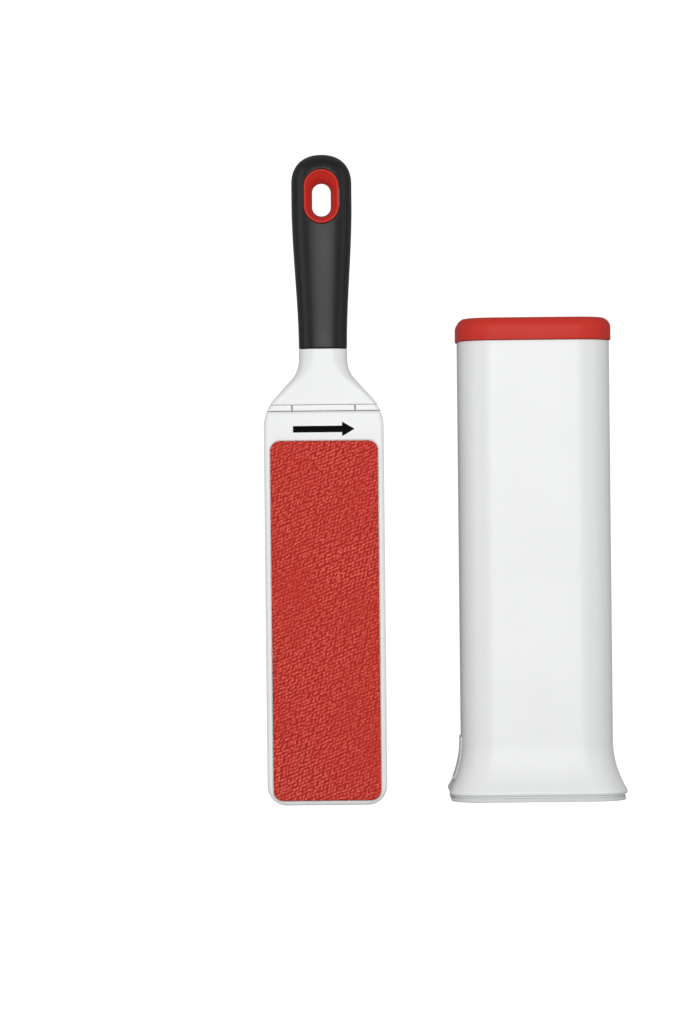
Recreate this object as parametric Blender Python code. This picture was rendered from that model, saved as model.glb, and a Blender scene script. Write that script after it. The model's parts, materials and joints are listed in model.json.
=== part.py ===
"""Two-sided lint brush with a swivelling head, and the self-cleaning holder that stands beside it.

Metres, +Z up. The brush's front faces -Y. The origin is the centre of the set's footprint on the table.
Each half of the set hangs on its own empty, which stands on the half's vertical axis at table height.
"""

import math

import bmesh
import bpy
from mathutils import Matrix, Vector

MM = 0.001

# Clearances
FIT_GAP = 0.3 * MM  # between pieces that seat on each other or turn in each other
GLUE_LINE = 0.15 * MM  # between laminated layers
CUT_MARGIN = 5 * MM  # how far a cutter runs past the face that it cuts

# Brush, overall
HEAD_LENGTH = 199.8 * MM
NECK_LENGTH = 31.7 * MM  # from the head's top to the grip
HEAD_WIDTH = 60.7 * MM
HEAD_THICKNESS = 16 * MM
HEAD_END_RADIUS = 10 * MM
HEAD_EDGE_RADIUS = 2 * MM
HEAD_WALL = 2.2 * MM
SHOULDER_SLOPE = math.radians(42)
SHOULDER_RADIUS = 22 * MM  # convex, where the neck runs into the head
NECK_RADIUS = 15.3 * MM  # concave, under the grip
NECK_WIDTH = 24.5 * MM
NECK_THICKNESS = 18 * MM

# Grip
GRIP_LENGTH = 98.5 * MM
GRIP_WIDTH = 30.6 * MM
GRIP_THICKNESS = 21 * MM
GRIP_END_HEIGHT = 15 * MM  # of the dome that closes the grip
GRIP_END_POWER = 2.3  # 2 makes the dome a half ellipse, more makes it squarer
GRIP_TAPER_TOP = 25 * MM  # below the grip's end, where it starts to narrow
GRIP_SKIN = 3.7 * MM  # round the tang, at the neck
TANG_END_SKIN = 7.1 * MM  # between the tang's end and the hang hole
TANG_TAPER = 0.82

# Hang hole and its liner
HANG_WIDTH = 17.8 * MM
HANG_HEIGHT = 27.4 * MM
HANG_BELOW_END = 21.5 * MM
HANG_THROAT_WIDTH = 9.4 * MM
HANG_THROAT_HEIGHT = 16.6 * MM
LINER_RIM = 0.9 * MM

# Swivel
WEAR_PLATE_THICKNESS = 2.6 * MM
SHAFT_RADIUS = 4 * MM
SHAFT_REACH = 22 * MM  # above the wear plate
GROOVE_RADIUS = 2.6 * MM
GROOVE_WIDTH = 3 * MM
GROOVE_UP = 10.5 * MM  # middle of the groove above the wear plate
STOP_ARC = math.radians(92)  # what is left of the groove's rim, against which the swivel stops
T_BAR_LENGTH = 20 * MM
T_BAR_HEIGHT = 5.5 * MM
T_BAR_COVER = 1.05 * MM  # between the bar's seat and the head's face plate
T_BAR_DOWN = 22.3 * MM  # top of the bar below the head's top
SOCKET_WIDTH = 28 * MM
SOCKET_HEIGHT = 34 * MM
RETAINING_PIN_RADIUS = 1.2 * MM
DETENT_OFFSET = 16 * MM
DETENT_BUMP_WIDTH = 2 * MM
DETENT_BUMP_DEPTH = 4.4 * MM
LEAF_THICKNESS = 0.5 * MM
LEAF_WIDTH = 6 * MM
LEAF_EYE_MARGIN = 1.4 * MM  # round the leaf's eye, inside the neck's faces
POCKET_HEIGHT = 2.2 * MM
INDEX_NOTCH = 0.8 * MM

# Pads
PAD_MARGIN = 3.1 * MM  # white rim at the head's sides
PAD_END_MARGIN = 2.4 * MM
PAD_TOP_MARGIN = 15.1 * MM
PAD_RADIUS = 5 * MM
BACKING_THICKNESS = 1 * MM
PILE_THICKNESS = 2 * MM
PILE_EDGE = 0.8 * MM
FLOOR_THICKNESS = 1.8 * MM  # of the head's face under the pad

# Head screws
SCREW_RADIUS = 1.4 * MM
SCREW_COVER = 1.2 * MM  # of the rear boss beyond the screw's tip
SCREW_HEAD_RADIUS = 2.6 * MM
SCREW_HEAD_HEIGHT = 1.4 * MM
BOSS_RADIUS = 3.4 * MM
BOSS_FROM_SIDE = 4.25 * MM  # between a boss and the head's side wall
SCREW_FROM_END = 22 * MM
SCREW_FROM_TOP = 41.8 * MM

# Holder
TUBE_ROOM_X = 8.4 * MM  # from the head's side to the tube's outer face
TUBE_ROOM_Y = 22 * MM  # from the head's face to the tube's outer face
GRIP_SINKS = 0.5 * MM  # the grip's lower end below the collar's top, when the brush is put away
TUBE_CORNER = 18 * MM
TUBE_WALL = 2.2 * MM
FLARE_OUT = 6.45 * MM  # at the top of the rim, which stands out a little more
FLARE_TOP = 30 * MM
RIM_TOP = 5.4 * MM
RIM_RADIUS = 1.7 * MM
CORNER_TIGHTENS = 0.4  # the corner radius loses this share of the flare
FOOT_HEIGHT = 2 * MM
FOOT_INSET = 0.65 * MM  # of the grey ring, behind the flare's lower edge

# Collar
COLLAR_HEIGHT = 11.5 * MM
COLLAR_PROUD = 0.9 * MM
COLLAR_EDGE = 5.2 * MM
COLLAR_WALL = 1.8 * MM
COLLAR_TOP_THICKNESS = 2.4 * MM
MOUTH_CLEARANCE_X = 3 * MM
MOUTH_CLEARANCE_Y = 4.1 * MM
MOUTH_CORNER = 8 * MM
MOUTH_LEAD = 3 * MM
SKIRT_DEPTH = 19 * MM
LOCATING_LIP = 6.5 * MM

# Wipers
FRAME_HEIGHT = 44 * MM
FRAME_WALL = 1.8 * MM
GUIDE_CLEARANCE = 0.8 * MM  # beside the head
GUIDE_THICKNESS = 2 * MM
CARRIER_THICKNESS = 3.3 * MM
WIPER_TRAVEL = 2.5 * MM
CARRIER_LEAD_RUN = 4.5 * MM
CARRIER_LEAD_OUT = 2.5 * MM
WIPER_PILE = 1.5 * MM
WIPER_PRESS = 0.3 * MM  # how far each wiper bites into the head's pile
SHELF_THICKNESS = 1.7 * MM
SPRING_POST_RADIUS = 1.8 * MM
SPRING_POST_LENGTH = 3.2 * MM
WIPER_SPRING_RADIUS = 3.2 * MM
WIPER_SPRING_WIRE = 0.35 * MM
WIPER_SPRING_TURNS = 4
WIPER_SPRING_OFFSET = 15 * MM

# Dock
DOCK_HEIGHT = 15 * MM  # the head's end stands this high when the brush is put away
DOCK_RIB_HEIGHT = 5 * MM
DOCK_RIB_OFFSET = 18 * MM
DOCK_BITE = 4 * MM  # how far each rib reaches under the head
RIB_THICKNESS = 2 * MM

# Trap door
FOOT_BORDER_X = 6.3 * MM
FOOT_BORDER_Y = 6.4 * MM
FOOT_UPSTAND = 6.6 * MM
UPSTAND_WALL = 1.6 * MM
OPENING_CORNER = 8 * MM
DOOR_RISE = 0.8 * MM  # the door's underside above the table
DOOR_THICKNESS = 2 * MM
DOOR_GAP = 0.5 * MM
DOOR_RIM_HEIGHT = 2.2 * MM
DOOR_RIM_WALL = 1.2 * MM
DOOR_RIM_INSET = 1.5 * MM
KNUCKLE_TO_RING = 1 * MM
HINGE_PIN_RADIUS = 1 * MM
KNUCKLE_RADIUS = 2.3 * MM
KNUCKLE_INNER = 7 * MM
HINGE_TONGUE = 16.9 * MM  # half of the door's width at the hinge
LUG_WIDTH = 4.5 * MM
LUG_REACH = 6.5 * MM
LUG_WALL = 1.5 * MM  # over the pin's hole
DOOR_SWING_ROOM = 1.3 * MM
CATCH_WIDTH = 11 * MM
CATCH_HEIGHT = 6 * MM
CATCH_STEM = 1.6 * MM
CATCH_NOSE = 1 * MM
NOSE_HEIGHT = 1.6 * MM  # of the catch's nose and of the hook's

# Release lever
LEVER_WIDTH = 22.8 * MM
LEVER_OVER_RING = 1.9 * MM
LEVER_TOP = 32.4 * MM
LEVER_PROUD = 0.8 * MM
LEVER_THICKNESS = 2.6 * MM
WINDOW_SIDE_GAP = 0.6 * MM
WINDOW_BELOW = 1.7 * MM
PIVOT_FROM_WALL = 2.05 * MM  # lever pin's axis from the tube's inner face
PIVOT_HEIGHT = 30 * MM
LEVER_PIN_RADIUS = 1 * MM
BARREL_RADIUS = 2.3 * MM
COIL_ROOM = 4 * MM  # half of the barrel's gap for the spring
EAR_THICKNESS = 2.5 * MM
EAR_HEIGHT = 6 * MM
ARM_WIDTH = 11 * MM
ARM_HEIGHT = 1.8 * MM
HOOK_LEG = 1.6 * MM
LEVER_SPRING_RADIUS = 1.6 * MM
LEVER_SPRING_WIRE = 0.25 * MM
LEVER_SPRING_TURNS = 4
LEVER_SPRING_LEG = 9 * MM

# Layout of the set
AXIS_SPACING = 108 * MM
HOLDER_BEHIND = 33 * MM  # the holder's axis behind the brush's, which lines up their fronts

# Where pieces meet, worked out from the sizes above
BRUSH_LENGTH = HEAD_LENGTH + NECK_LENGTH + GRIP_LENGTH
PLATE_LOW = HEAD_LENGTH + FIT_GAP
PLATE_HIGH = PLATE_LOW + WEAR_PLATE_THICKNESS
NECK_LOW = PLATE_HIGH + FIT_GAP
GRIP_LOW = BRUSH_LENGTH - GRIP_LENGTH
HANG_CENTRE = BRUSH_LENGTH - HANG_BELOW_END
TANG_WIDTH = NECK_WIDTH - 2 * GRIP_SKIN
TANG_THICKNESS = NECK_THICKNESS - 2 * GRIP_SKIN
TANG_LENGTH = GRIP_LENGTH - HANG_BELOW_END - HANG_HEIGHT / 2 - TANG_END_SKIN
PAD_WIDTH = HEAD_WIDTH - 2 * PAD_MARGIN
PAD_HEIGHT = HEAD_LENGTH - PAD_END_MARGIN - PAD_TOP_MARGIN
PAD_CENTRE = PAD_END_MARGIN + PAD_HEIGHT / 2
PAD_RECESS = BACKING_THICKNESS + GLUE_LINE
PAD_FACE = HEAD_THICKNESS / 2 + GLUE_LINE + PILE_THICKNESS
FLOOR_INSIDE = HEAD_THICKNESS / 2 - PAD_RECESS - FLOOR_THICKNESS
T_BAR_THICKNESS = 2 * (FLOOR_INSIDE - T_BAR_COVER - FIT_GAP)
LEAF_EYE_RADIUS = HEAD_THICKNESS / 2 - LEAF_EYE_MARGIN
SCREW_SEAT = HEAD_THICKNESS / 2 - PAD_RECESS - 0.1 * MM  # outer side of a screw's head
SCREW_LENGTH = SCREW_SEAT + FLOOR_INSIDE - SCREW_COVER
SCREW_COLUMN = HEAD_WIDTH / 2 - HEAD_WALL - BOSS_FROM_SIDE - BOSS_RADIUS
SCREW_TOP = HEAD_LENGTH - SCREW_FROM_TOP
SCREW_HEIGHTS = (SCREW_FROM_END, (SCREW_FROM_END + SCREW_TOP) / 2, SCREW_TOP)
T_BAR_TOP = HEAD_LENGTH - T_BAR_DOWN
GROOVE_MIDDLE = PLATE_HIGH + GROOVE_UP
SHAFT_TOP = PLATE_HIGH + SHAFT_REACH
PIN_OFFSET = GROOVE_RADIUS + RETAINING_PIN_RADIUS + 0.4 * MM
TUBE_WIDTH = HEAD_WIDTH + 2 * TUBE_ROOM_X
TUBE_DEPTH = HEAD_THICKNESS + 2 * TUBE_ROOM_Y
HOLDER_HEIGHT = DOCK_HEIGHT + HEAD_LENGTH + NECK_LENGTH + GRIP_SINKS
DOCK_RIB_GAP = HEAD_THICKNESS / 2 - DOCK_BITE
TUBE_TOP = HOLDER_HEIGHT - COLLAR_HEIGHT - FIT_GAP
MOUTH_X = HEAD_WIDTH / 2 + MOUTH_CLEARANCE_X
MOUTH_Y = PAD_FACE + MOUTH_CLEARANCE_Y
SKIRT_LOW = HOLDER_HEIGHT - SKIRT_DEPTH
FRAME_TOP = SKIRT_LOW - 2 * MM
FRAME_LOW = FRAME_TOP - FRAME_HEIGHT
FRAME_X = TUBE_WIDTH / 2 - TUBE_WALL - 0.5 * MM
FRAME_Y = TUBE_DEPTH / 2 - TUBE_WALL - 0.5 * MM
GUIDE_X = HEAD_WIDTH / 2 + GUIDE_CLEARANCE
WIPER_FACE = PAD_FACE - WIPER_PRESS
CARRIER_FACE = WIPER_FACE + WIPER_PILE + GLUE_LINE
CARRIER_BACK = CARRIER_FACE + CARRIER_THICKNESS
CARRIER_LOW = FRAME_LOW + SHELF_THICKNESS + FIT_GAP
CARRIER_TOP = FRAME_TOP - 2 * MM
OPENING_X = TUBE_WIDTH / 2 + FLARE_OUT - FOOT_INSET - FOOT_BORDER_X
OPENING_Y = TUBE_DEPTH / 2 + FLARE_OUT - FOOT_INSET - FOOT_BORDER_Y
HINGE_X = OPENING_X - KNUCKLE_RADIUS - KNUCKLE_TO_RING
HINGE_HEIGHT = KNUCKLE_RADIUS + FIT_GAP
LUG_HEIGHT = HINGE_HEIGHT + HINGE_PIN_RADIUS + FIT_GAP + LUG_WALL
DOOR_X = OPENING_X - DOOR_GAP
DOOR_Y = OPENING_Y - DOOR_GAP
PIVOT_X = -(TUBE_WIDTH / 2 - TUBE_WALL - PIVOT_FROM_WALL)
LEVER_BOTTOM = FOOT_HEIGHT + FOOT_UPSTAND + LEVER_OVER_RING
CATCH_TOP = DOOR_RISE + DOOR_THICKNESS + CATCH_HEIGHT
HOOK_TOP = CATCH_TOP - NOSE_HEIGHT - FIT_GAP
HOOK_BOTTOM = HOOK_TOP - NOSE_HEIGHT
CATCH_X = -DOOR_X + 0.3 * MM
HOOK_X = CATCH_X + CATCH_STEM + CATCH_NOSE + FIT_GAP

FLARE_ARC = ((FLARE_TOP - RIM_TOP) ** 2 + FLARE_OUT**2) / (2 * FLARE_OUT)
FLARE_LEAN = math.asin((FLARE_TOP - RIM_TOP) / FLARE_ARC)
RIM_OUT = FLARE_OUT + RIM_RADIUS * (1 - math.cos(FLARE_LEAN))
HOLDER_HALF_X = TUBE_WIDTH / 2 + RIM_OUT
HOLDER_HALF_Y = TUBE_DEPTH / 2 + RIM_OUT
BRUSH_X = -(AXIS_SPACING + HOLDER_HALF_X - HEAD_WIDTH / 2) / 2
BRUSH_Y = -(HOLDER_BEHIND + HOLDER_HALF_Y - GRIP_THICKNESS / 2) / 2
HOLDER_X = BRUSH_X + AXIS_SPACING
HOLDER_Y = BRUSH_Y + HOLDER_BEHIND


# ---------------------------------------------------------------- modelling helpers


def clear_scene():
    for obj in list(bpy.data.objects):
        bpy.data.objects.remove(obj, do_unlink=True)


def material(name, colour, roughness, metallic=0.0):
    """A Principled material from an sRGB hex colour."""
    mat = bpy.data.materials.new(name)
    mat.use_nodes = True
    shader = mat.node_tree.nodes["Principled BSDF"]
    channels = [int(colour[i : i + 2], 16) / 255 for i in (1, 3, 5)]
    linear = [c / 12.92 if c <= 0.04045 else ((c + 0.055) / 1.055) ** 2.4 for c in channels]
    shader.inputs["Base Color"].default_value = (*linear, 1)
    shader.inputs["Roughness"].default_value = roughness
    shader.inputs["Metallic"].default_value = metallic
    mat.diffuse_color = (*linear, 1)
    return mat


def frame_empty(name, location):
    empty = bpy.data.objects.new(name, None)
    empty.location = location
    bpy.context.scene.collection.objects.link(empty)
    return empty


def finish(bm, name, mat, parent, origin=(0, 0, 0)):
    """Makes the mesh an object of its own, with its origin at a point of the parent's frame."""
    bmesh.ops.recalc_face_normals(bm, faces=bm.faces)
    bmesh.ops.translate(bm, vec=-Vector(origin), verts=bm.verts)
    mesh = bpy.data.meshes.new(name)
    bm.to_mesh(mesh)
    bm.free()
    mesh.shade_smooth()
    mesh.set_sharp_from_angle(angle=math.radians(35))
    obj = bpy.data.objects.new(name, mesh)
    obj.data.materials.append(mat)
    obj.parent = parent
    obj.location = origin
    bpy.context.scene.collection.objects.link(obj)
    return obj


def combine(target, tool_mesh, operation, tag):
    """Adds or cuts a helper mesh, given in the parent's frame, with a Boolean modifier."""
    tool = finish(tool_mesh, f"{target.name}_{tag}", target.data.materials[0], target.parent)
    tool.hide_render = True
    tool.display_type = "WIRE"
    modifier = target.modifiers.new(tag, "BOOLEAN")
    modifier.operation = operation
    modifier.object = tool


def rounded_rect(half_x, half_y, radius, steps=5):
    """Corners as arcs, anticlockwise from +X."""
    radius = min(radius, half_x, half_y)
    points = []
    for corner, (sx, sy) in enumerate(((1, 1), (-1, 1), (-1, -1), (1, -1))):
        for step in range(steps + 1):
            angle = math.pi / 2 * (corner + step / steps)
            points.append(
                (
                    sx * (half_x - radius) + radius * math.cos(angle),
                    sy * (half_y - radius) + radius * math.sin(angle),
                )
            )
    return points


def inset_outline(outline, distance):
    """Moves each corner of an anticlockwise outline inwards by the same wall."""
    count = len(outline)
    moved = []
    for i, point in enumerate(outline):
        before = (Vector(point) - Vector(outline[i - 1])).normalized()
        after = (Vector(outline[(i + 1) % count]) - Vector(point)).normalized()
        inward = Vector((-before.y - after.y, before.x + after.x)).normalized()
        half_turn = math.sqrt(max(0.25, (1 + before.dot(after)) / 2))
        moved.append(tuple(Vector(point) + inward * distance / half_turn))
    return moved


def lift(outline, axis, at):
    """A flat outline as points in space. The axis is the one that the outline faces along."""
    if axis == "X":
        return [(at, a, b) for a, b in outline]
    if axis == "Y":
        return [(a, at, b) for a, b in outline]
    return [(a, b, at) for a, b in outline]


def loft(bm, rings, ring_shaped=False):
    """Joins rings of equal count with quads. A ring-shaped loft closes on itself, any other one gets caps."""
    loops = [[bm.verts.new(p) for p in ring] for ring in rings]
    pairs = list(zip(loops, loops[1:]))
    if ring_shaped:
        pairs.append((loops[-1], loops[0]))
    for low, high in pairs:
        for i in range(len(low)):
            bm.faces.new((low[i - 1], low[i], high[i], high[i - 1]))
    if not ring_shaped:
        bm.faces.new(loops[0])
        bm.faces.new(loops[-1])


def add_prism(bm, outline, axis, low, high):
    loft(bm, [lift(outline, axis, low), lift(outline, axis, high)])


def add_box(bm, low, high):
    size = Vector(high) - Vector(low)
    place = Matrix.Translation((Vector(low) + Vector(high)) / 2) @ Matrix.Diagonal((*size, 1))
    bmesh.ops.create_cube(bm, size=1, matrix=place)


def add_cylinder(bm, radius, axis, centre, low, high, segments=16):
    """A cylinder along an axis, between two places on it. The centre gives the other two coordinates."""
    turn = {
        "X": Matrix.Rotation(math.pi / 2, 4, "Y"),
        "Y": Matrix.Rotation(-math.pi / 2, 4, "X"),
        "Z": Matrix.Identity(4),
    }[axis]
    middle = lift([centre], axis, (low + high) / 2)[0]
    bmesh.ops.create_cone(
        bm,
        cap_ends=True,
        segments=segments,
        radius1=radius,
        radius2=radius,
        depth=abs(high - low),
        matrix=Matrix.Translation(middle) @ turn,
    )


def add_lathe(bm, profile, segments):
    """Turns (radius, height) points about Z. The first and last rings are capped."""
    rings = []
    for radius, height in profile:
        angles = [2 * math.pi * i / segments for i in range(segments)]
        rings.append([(radius * math.cos(a), radius * math.sin(a), height) for a in angles])
    loft(bm, rings)


def wire(name, points, wire_radius, mat, parent):
    """A bent wire as a curve with a round bevel and filled caps."""
    curve = bpy.data.curves.new(name, "CURVE")
    curve.dimensions = "3D"
    curve.bevel_depth = wire_radius
    curve.bevel_resolution = 1
    curve.use_fill_caps = True
    spline = curve.splines.new("POLY")
    spline.points.add(len(points) - 1)
    for spot, point in zip(spline.points, points):
        spot.co = (*point, 1)
    curve.materials.append(mat)
    obj = bpy.data.objects.new(name, curve)
    obj.parent = parent
    bpy.context.scene.collection.objects.link(obj)
    return obj


def helix(centre, radius, start, end, turns, axis, begin_angle=0.0, steps=10):
    """Points of a coil along Y, from one Y to the other. The centre is (x, z)."""
    points = []
    for i in range(turns * steps + 1):
        share = i / (turns * steps)
        angle = begin_angle + 2 * math.pi * turns * share
        across = (centre[0] + radius * math.cos(angle), centre[1] + radius * math.sin(angle))
        points.append(lift([across], axis, start + (end - start) * share)[0])
    return points


def smooth_step(share):
    share = min(1.0, max(0.0, share))
    return share * share * (3 - 2 * share)


# ---------------------------------------------------------------- outlines of the brush


def shoulder_curve(steps=5):
    """(half width, height) from the grip down to the head's full width: arc, straight slope, arc."""
    turn_in = 1 - math.cos(SHOULDER_SLOPE)
    neck_half = NECK_WIDTH / 2
    slope_start = neck_half + NECK_RADIUS * turn_in
    slope_end = HEAD_WIDTH / 2 - SHOULDER_RADIUS * turn_in
    slope_drop = (slope_end - slope_start) / math.tan(SHOULDER_SLOPE)
    neck_start = GRIP_LOW - 5.5 * MM
    slope_top = neck_start - NECK_RADIUS * math.sin(SHOULDER_SLOPE)
    shoulder_top = slope_top - slope_drop
    shoulder_low = shoulder_top - SHOULDER_RADIUS * math.sin(SHOULDER_SLOPE)
    angles = [SHOULDER_SLOPE * i / steps for i in range(steps + 1)]
    upper = [
        (neck_half + NECK_RADIUS * (1 - math.cos(a)), neck_start - NECK_RADIUS * math.sin(a))
        for a in angles
    ]
    lower = [
        (
            HEAD_WIDTH / 2 - SHOULDER_RADIUS * (1 - math.cos(a)),
            shoulder_low + SHOULDER_RADIUS * math.sin(a),
        )
        for a in reversed(angles)
    ]
    return upper + lower


SHOULDER = shoulder_curve()


def half_width_at(height):
    """The brush's half width at a height, between the head's straight sides and the grip."""
    if height >= SHOULDER[0][1]:
        return SHOULDER[0][0]
    for (wide_a, high_a), (wide_b, high_b) in zip(SHOULDER, SHOULDER[1:]):
        if high_b <= height <= high_a:
            return wide_a + (wide_b - wide_a) * (high_a - height) / (high_a - high_b)
    return SHOULDER[-1][0]


def neck_section(height):
    """The neck's outline at a height: oval under the grip, a flat rounded bar at the head."""
    share = smooth_step((height - HEAD_LENGTH) / (GRIP_LOW - HEAD_LENGTH))
    half_y = (HEAD_THICKNESS + (NECK_THICKNESS - HEAD_THICKNESS) * share) / 2
    radius = HEAD_EDGE_RADIUS + (NECK_THICKNESS / 2 - 0.3 * MM - HEAD_EDGE_RADIUS) * share
    return rounded_rect(half_width_at(height), half_y, radius)


def grip_section(height):
    """The grip's outline at a height. A dome closes its end."""
    below = BRUSH_LENGTH - GRIP_TAPER_TOP - height
    taper = smooth_step(below / (GRIP_LENGTH - GRIP_TAPER_TOP))
    half_x = (GRIP_WIDTH + (NECK_WIDTH - GRIP_WIDTH) * taper) / 2
    half_y = (GRIP_THICKNESS + (NECK_THICKNESS - GRIP_THICKNESS) * taper) / 2
    up_cap = max(0.0, (height - (BRUSH_LENGTH - GRIP_END_HEIGHT)) / GRIP_END_HEIGHT)
    half_x *= (1 - up_cap**GRIP_END_POWER) ** (1 / GRIP_END_POWER)
    half_y *= (1 - up_cap**3.2) ** (1 / 3.2)
    return rounded_rect(half_x, half_y, min(half_x, half_y) - 0.3 * MM)


def head_outline():
    """The head's outline seen from the front, anticlockwise, with (x, z) points."""
    right = []
    corner_x = HEAD_WIDTH / 2 - HEAD_END_RADIUS
    for step in range(7):
        angle = math.pi / 2 * (step / 6 - 1)
        right.append(
            (
                corner_x + HEAD_END_RADIUS * math.cos(angle),
                HEAD_END_RADIUS + HEAD_END_RADIUS * math.sin(angle),
            )
        )
    for wide, height in reversed(SHOULDER):
        if height < HEAD_LENGTH - 0.5 * MM:
            right.append((wide, height))
    right.append((half_width_at(HEAD_LENGTH), HEAD_LENGTH))
    left = [(-x, z) for x, z in reversed(right)]
    return right + left


# ---------------------------------------------------------------- handle


def make_grip(mats, parent):
    heights = [GRIP_LOW + (BRUSH_LENGTH - GRIP_END_HEIGHT - GRIP_LOW) * i / 10 for i in range(11)]
    for share in (0.3, 0.55, 0.75, 0.88, 0.96):
        heights.append(BRUSH_LENGTH - GRIP_END_HEIGHT * (1 - share))
    rings = [lift(grip_section(BRUSH_LENGTH - 0.1 * MM), "Z", BRUSH_LENGTH)]
    rings += [lift(grip_section(h), "Z", h) for h in reversed(heights)]
    pocket_top = GRIP_LOW + TANG_LENGTH + FIT_GAP
    rings += [
        lift(tang_section(0, FIT_GAP), "Z", GRIP_LOW),
        lift(tang_section(1, FIT_GAP), "Z", pocket_top),
    ]
    bm = bmesh.new()
    loft(bm, rings)
    grip = finish(bm, "grip", mats["black_tpe"], parent)
    hole = bmesh.new()
    outline = stadium(HANG_WIDTH / 2 + FIT_GAP, HANG_HEIGHT / 2 + FIT_GAP)
    add_prism(hole, outline, "Y", -GRIP_THICKNESS, GRIP_THICKNESS)
    combine(grip, hole, "DIFFERENCE", "hang_hole")


def stadium(half_x, half_z, steps=6):
    """A slot with round ends about the hang hole's centre."""
    return [(x, HANG_CENTRE + z) for x, z in rounded_rect(half_x, half_z, half_x, steps)]


def tang_section(share, gap=0.0):
    """The tang narrows from the neck (0) to its end (1)."""
    scale = 1 + (TANG_TAPER - 1) * share
    half_x, half_y = TANG_WIDTH / 2 * scale, TANG_THICKNESS / 2 * scale
    return rounded_rect(half_x + gap, half_y + gap, half_y * 0.75 + gap)


def make_liner(mats, parent):
    """The red liner: a straight outside, and a waist inside that widens to both faces."""
    outer = (HANG_WIDTH / 2, HANG_HEIGHT / 2)
    mouth = (outer[0] - LINER_RIM, outer[1] - LINER_RIM)
    throat = (HANG_THROAT_WIDTH / 2, HANG_THROAT_HEIGHT / 2)
    half = GRIP_THICKNESS / 2 - 0.2 * MM
    rings = [lift(stadium(*outer), "Y", -half), lift(stadium(*outer), "Y", half)]
    for i in range(9):
        share = 1 - i / 4
        waist = 1 - abs(share) ** 1.6
        size = [m + (t - m) * waist for m, t in zip(mouth, throat)]
        rings.append(lift(stadium(*size), "Y", half * share))
    bm = bmesh.new()
    loft(bm, rings, ring_shaped=True)
    finish(bm, "hang_hole_liner", mats["red_plastic"], parent)


def leaf_outline(grow=0.0):
    """The detent leaf seen from below: a round eye with two arms."""
    reach = DETENT_OFFSET + DETENT_BUMP_WIDTH + grow
    half = LEAF_WIDTH / 2 + grow
    radius = LEAF_EYE_RADIUS + grow
    arm = math.asin(half / radius)
    right = [(reach, -half), (reach, half)]
    over = [arm + (math.pi - 2 * arm) * i / 8 for i in range(9)]
    top = [(radius * math.cos(a), radius * math.sin(a)) for a in over]
    left = [(-reach, half), (-reach, -half)]
    under = [(-x, -y) for x, y in top]
    return right + top + left + under


def make_handle_core(mats, parent):
    """Neck and tang in one moulding, bored for the swivel from below."""
    heights = [NECK_LOW, *(h for _, h in reversed(SHOULDER) if NECK_LOW + 1 * MM < h)]
    heights.append(GRIP_LOW - FIT_GAP)
    rings = [lift(neck_section(h), "Z", h) for h in heights]
    rings.append(lift(tang_section(0), "Z", GRIP_LOW - FIT_GAP))
    rings.append(lift(tang_section(1), "Z", GRIP_LOW + TANG_LENGTH))
    bm = bmesh.new()
    loft(bm, rings)
    core = finish(bm, "handle_core", mats["white_abs"], parent)
    cut = bmesh.new()
    bore = SHAFT_RADIUS + FIT_GAP
    add_cylinder(cut, bore, "Z", (0, 0), NECK_LOW - CUT_MARGIN, SHAFT_TOP + FIT_GAP, 24)
    combine(core, cut, "DIFFERENCE", "shaft_bore")
    cut = bmesh.new()
    pocket = leaf_outline(0.5 * MM)
    add_prism(cut, pocket, "Z", NECK_LOW - CUT_MARGIN, NECK_LOW + POCKET_HEIGHT)
    combine(core, cut, "DIFFERENCE", "leaf_pocket")
    cut = bmesh.new()
    hole = RETAINING_PIN_RADIUS + FIT_GAP
    add_cylinder(cut, hole, "Y", (PIN_OFFSET, GROOVE_MIDDLE), -5.5 * MM, 20 * MM, 12)
    combine(core, cut, "DIFFERENCE", "pin_hole")


def make_retaining_pin(mats, parent):
    """Crosses the shaft's groove, pushed in from the rear."""
    bm = bmesh.new()
    centre = (PIN_OFFSET, GROOVE_MIDDLE)
    rear = HEAD_THICKNESS / 2 - 0.2 * MM
    add_cylinder(bm, RETAINING_PIN_RADIUS, "Y", centre, -5.2 * MM, rear, 12)
    finish(bm, "retaining_pin", mats["steel"], parent)


def make_wear_plate(mats, parent):
    """Slip plate under the neck. Four notches in its rim mark where the leaf's bumps are."""
    bm = bmesh.new()
    low, high = neck_section(PLATE_LOW), neck_section(PLATE_HIGH)
    loft(bm, [lift(low, "Z", PLATE_LOW), lift(high, "Z", PLATE_HIGH)])
    plate = finish(bm, "wear_plate", mats["white_acetal"], parent)
    below, above = PLATE_LOW - CUT_MARGIN, PLATE_HIGH + CUT_MARGIN
    cut = bmesh.new()
    add_cylinder(cut, SHAFT_RADIUS + FIT_GAP, "Z", (0, 0), below, above, 24)
    bump = (DETENT_BUMP_WIDTH / 2 + FIT_GAP, DETENT_BUMP_DEPTH / 2 + FIT_GAP)
    for side in (-1, 1):
        x = side * DETENT_OFFSET
        add_box(cut, (x - bump[0], -bump[1], below), (x + bump[0], bump[1], above))
        for face in (-1, 1):
            edge = face * HEAD_THICKNESS / 2
            half = INDEX_NOTCH / 2
            spans = sorted((edge - face * 1 * MM, edge + face * CUT_MARGIN))
            add_box(cut, (x - half, spans[0], below), (x + half, spans[1], above))
    combine(plate, cut, "DIFFERENCE", "openings")


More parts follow.
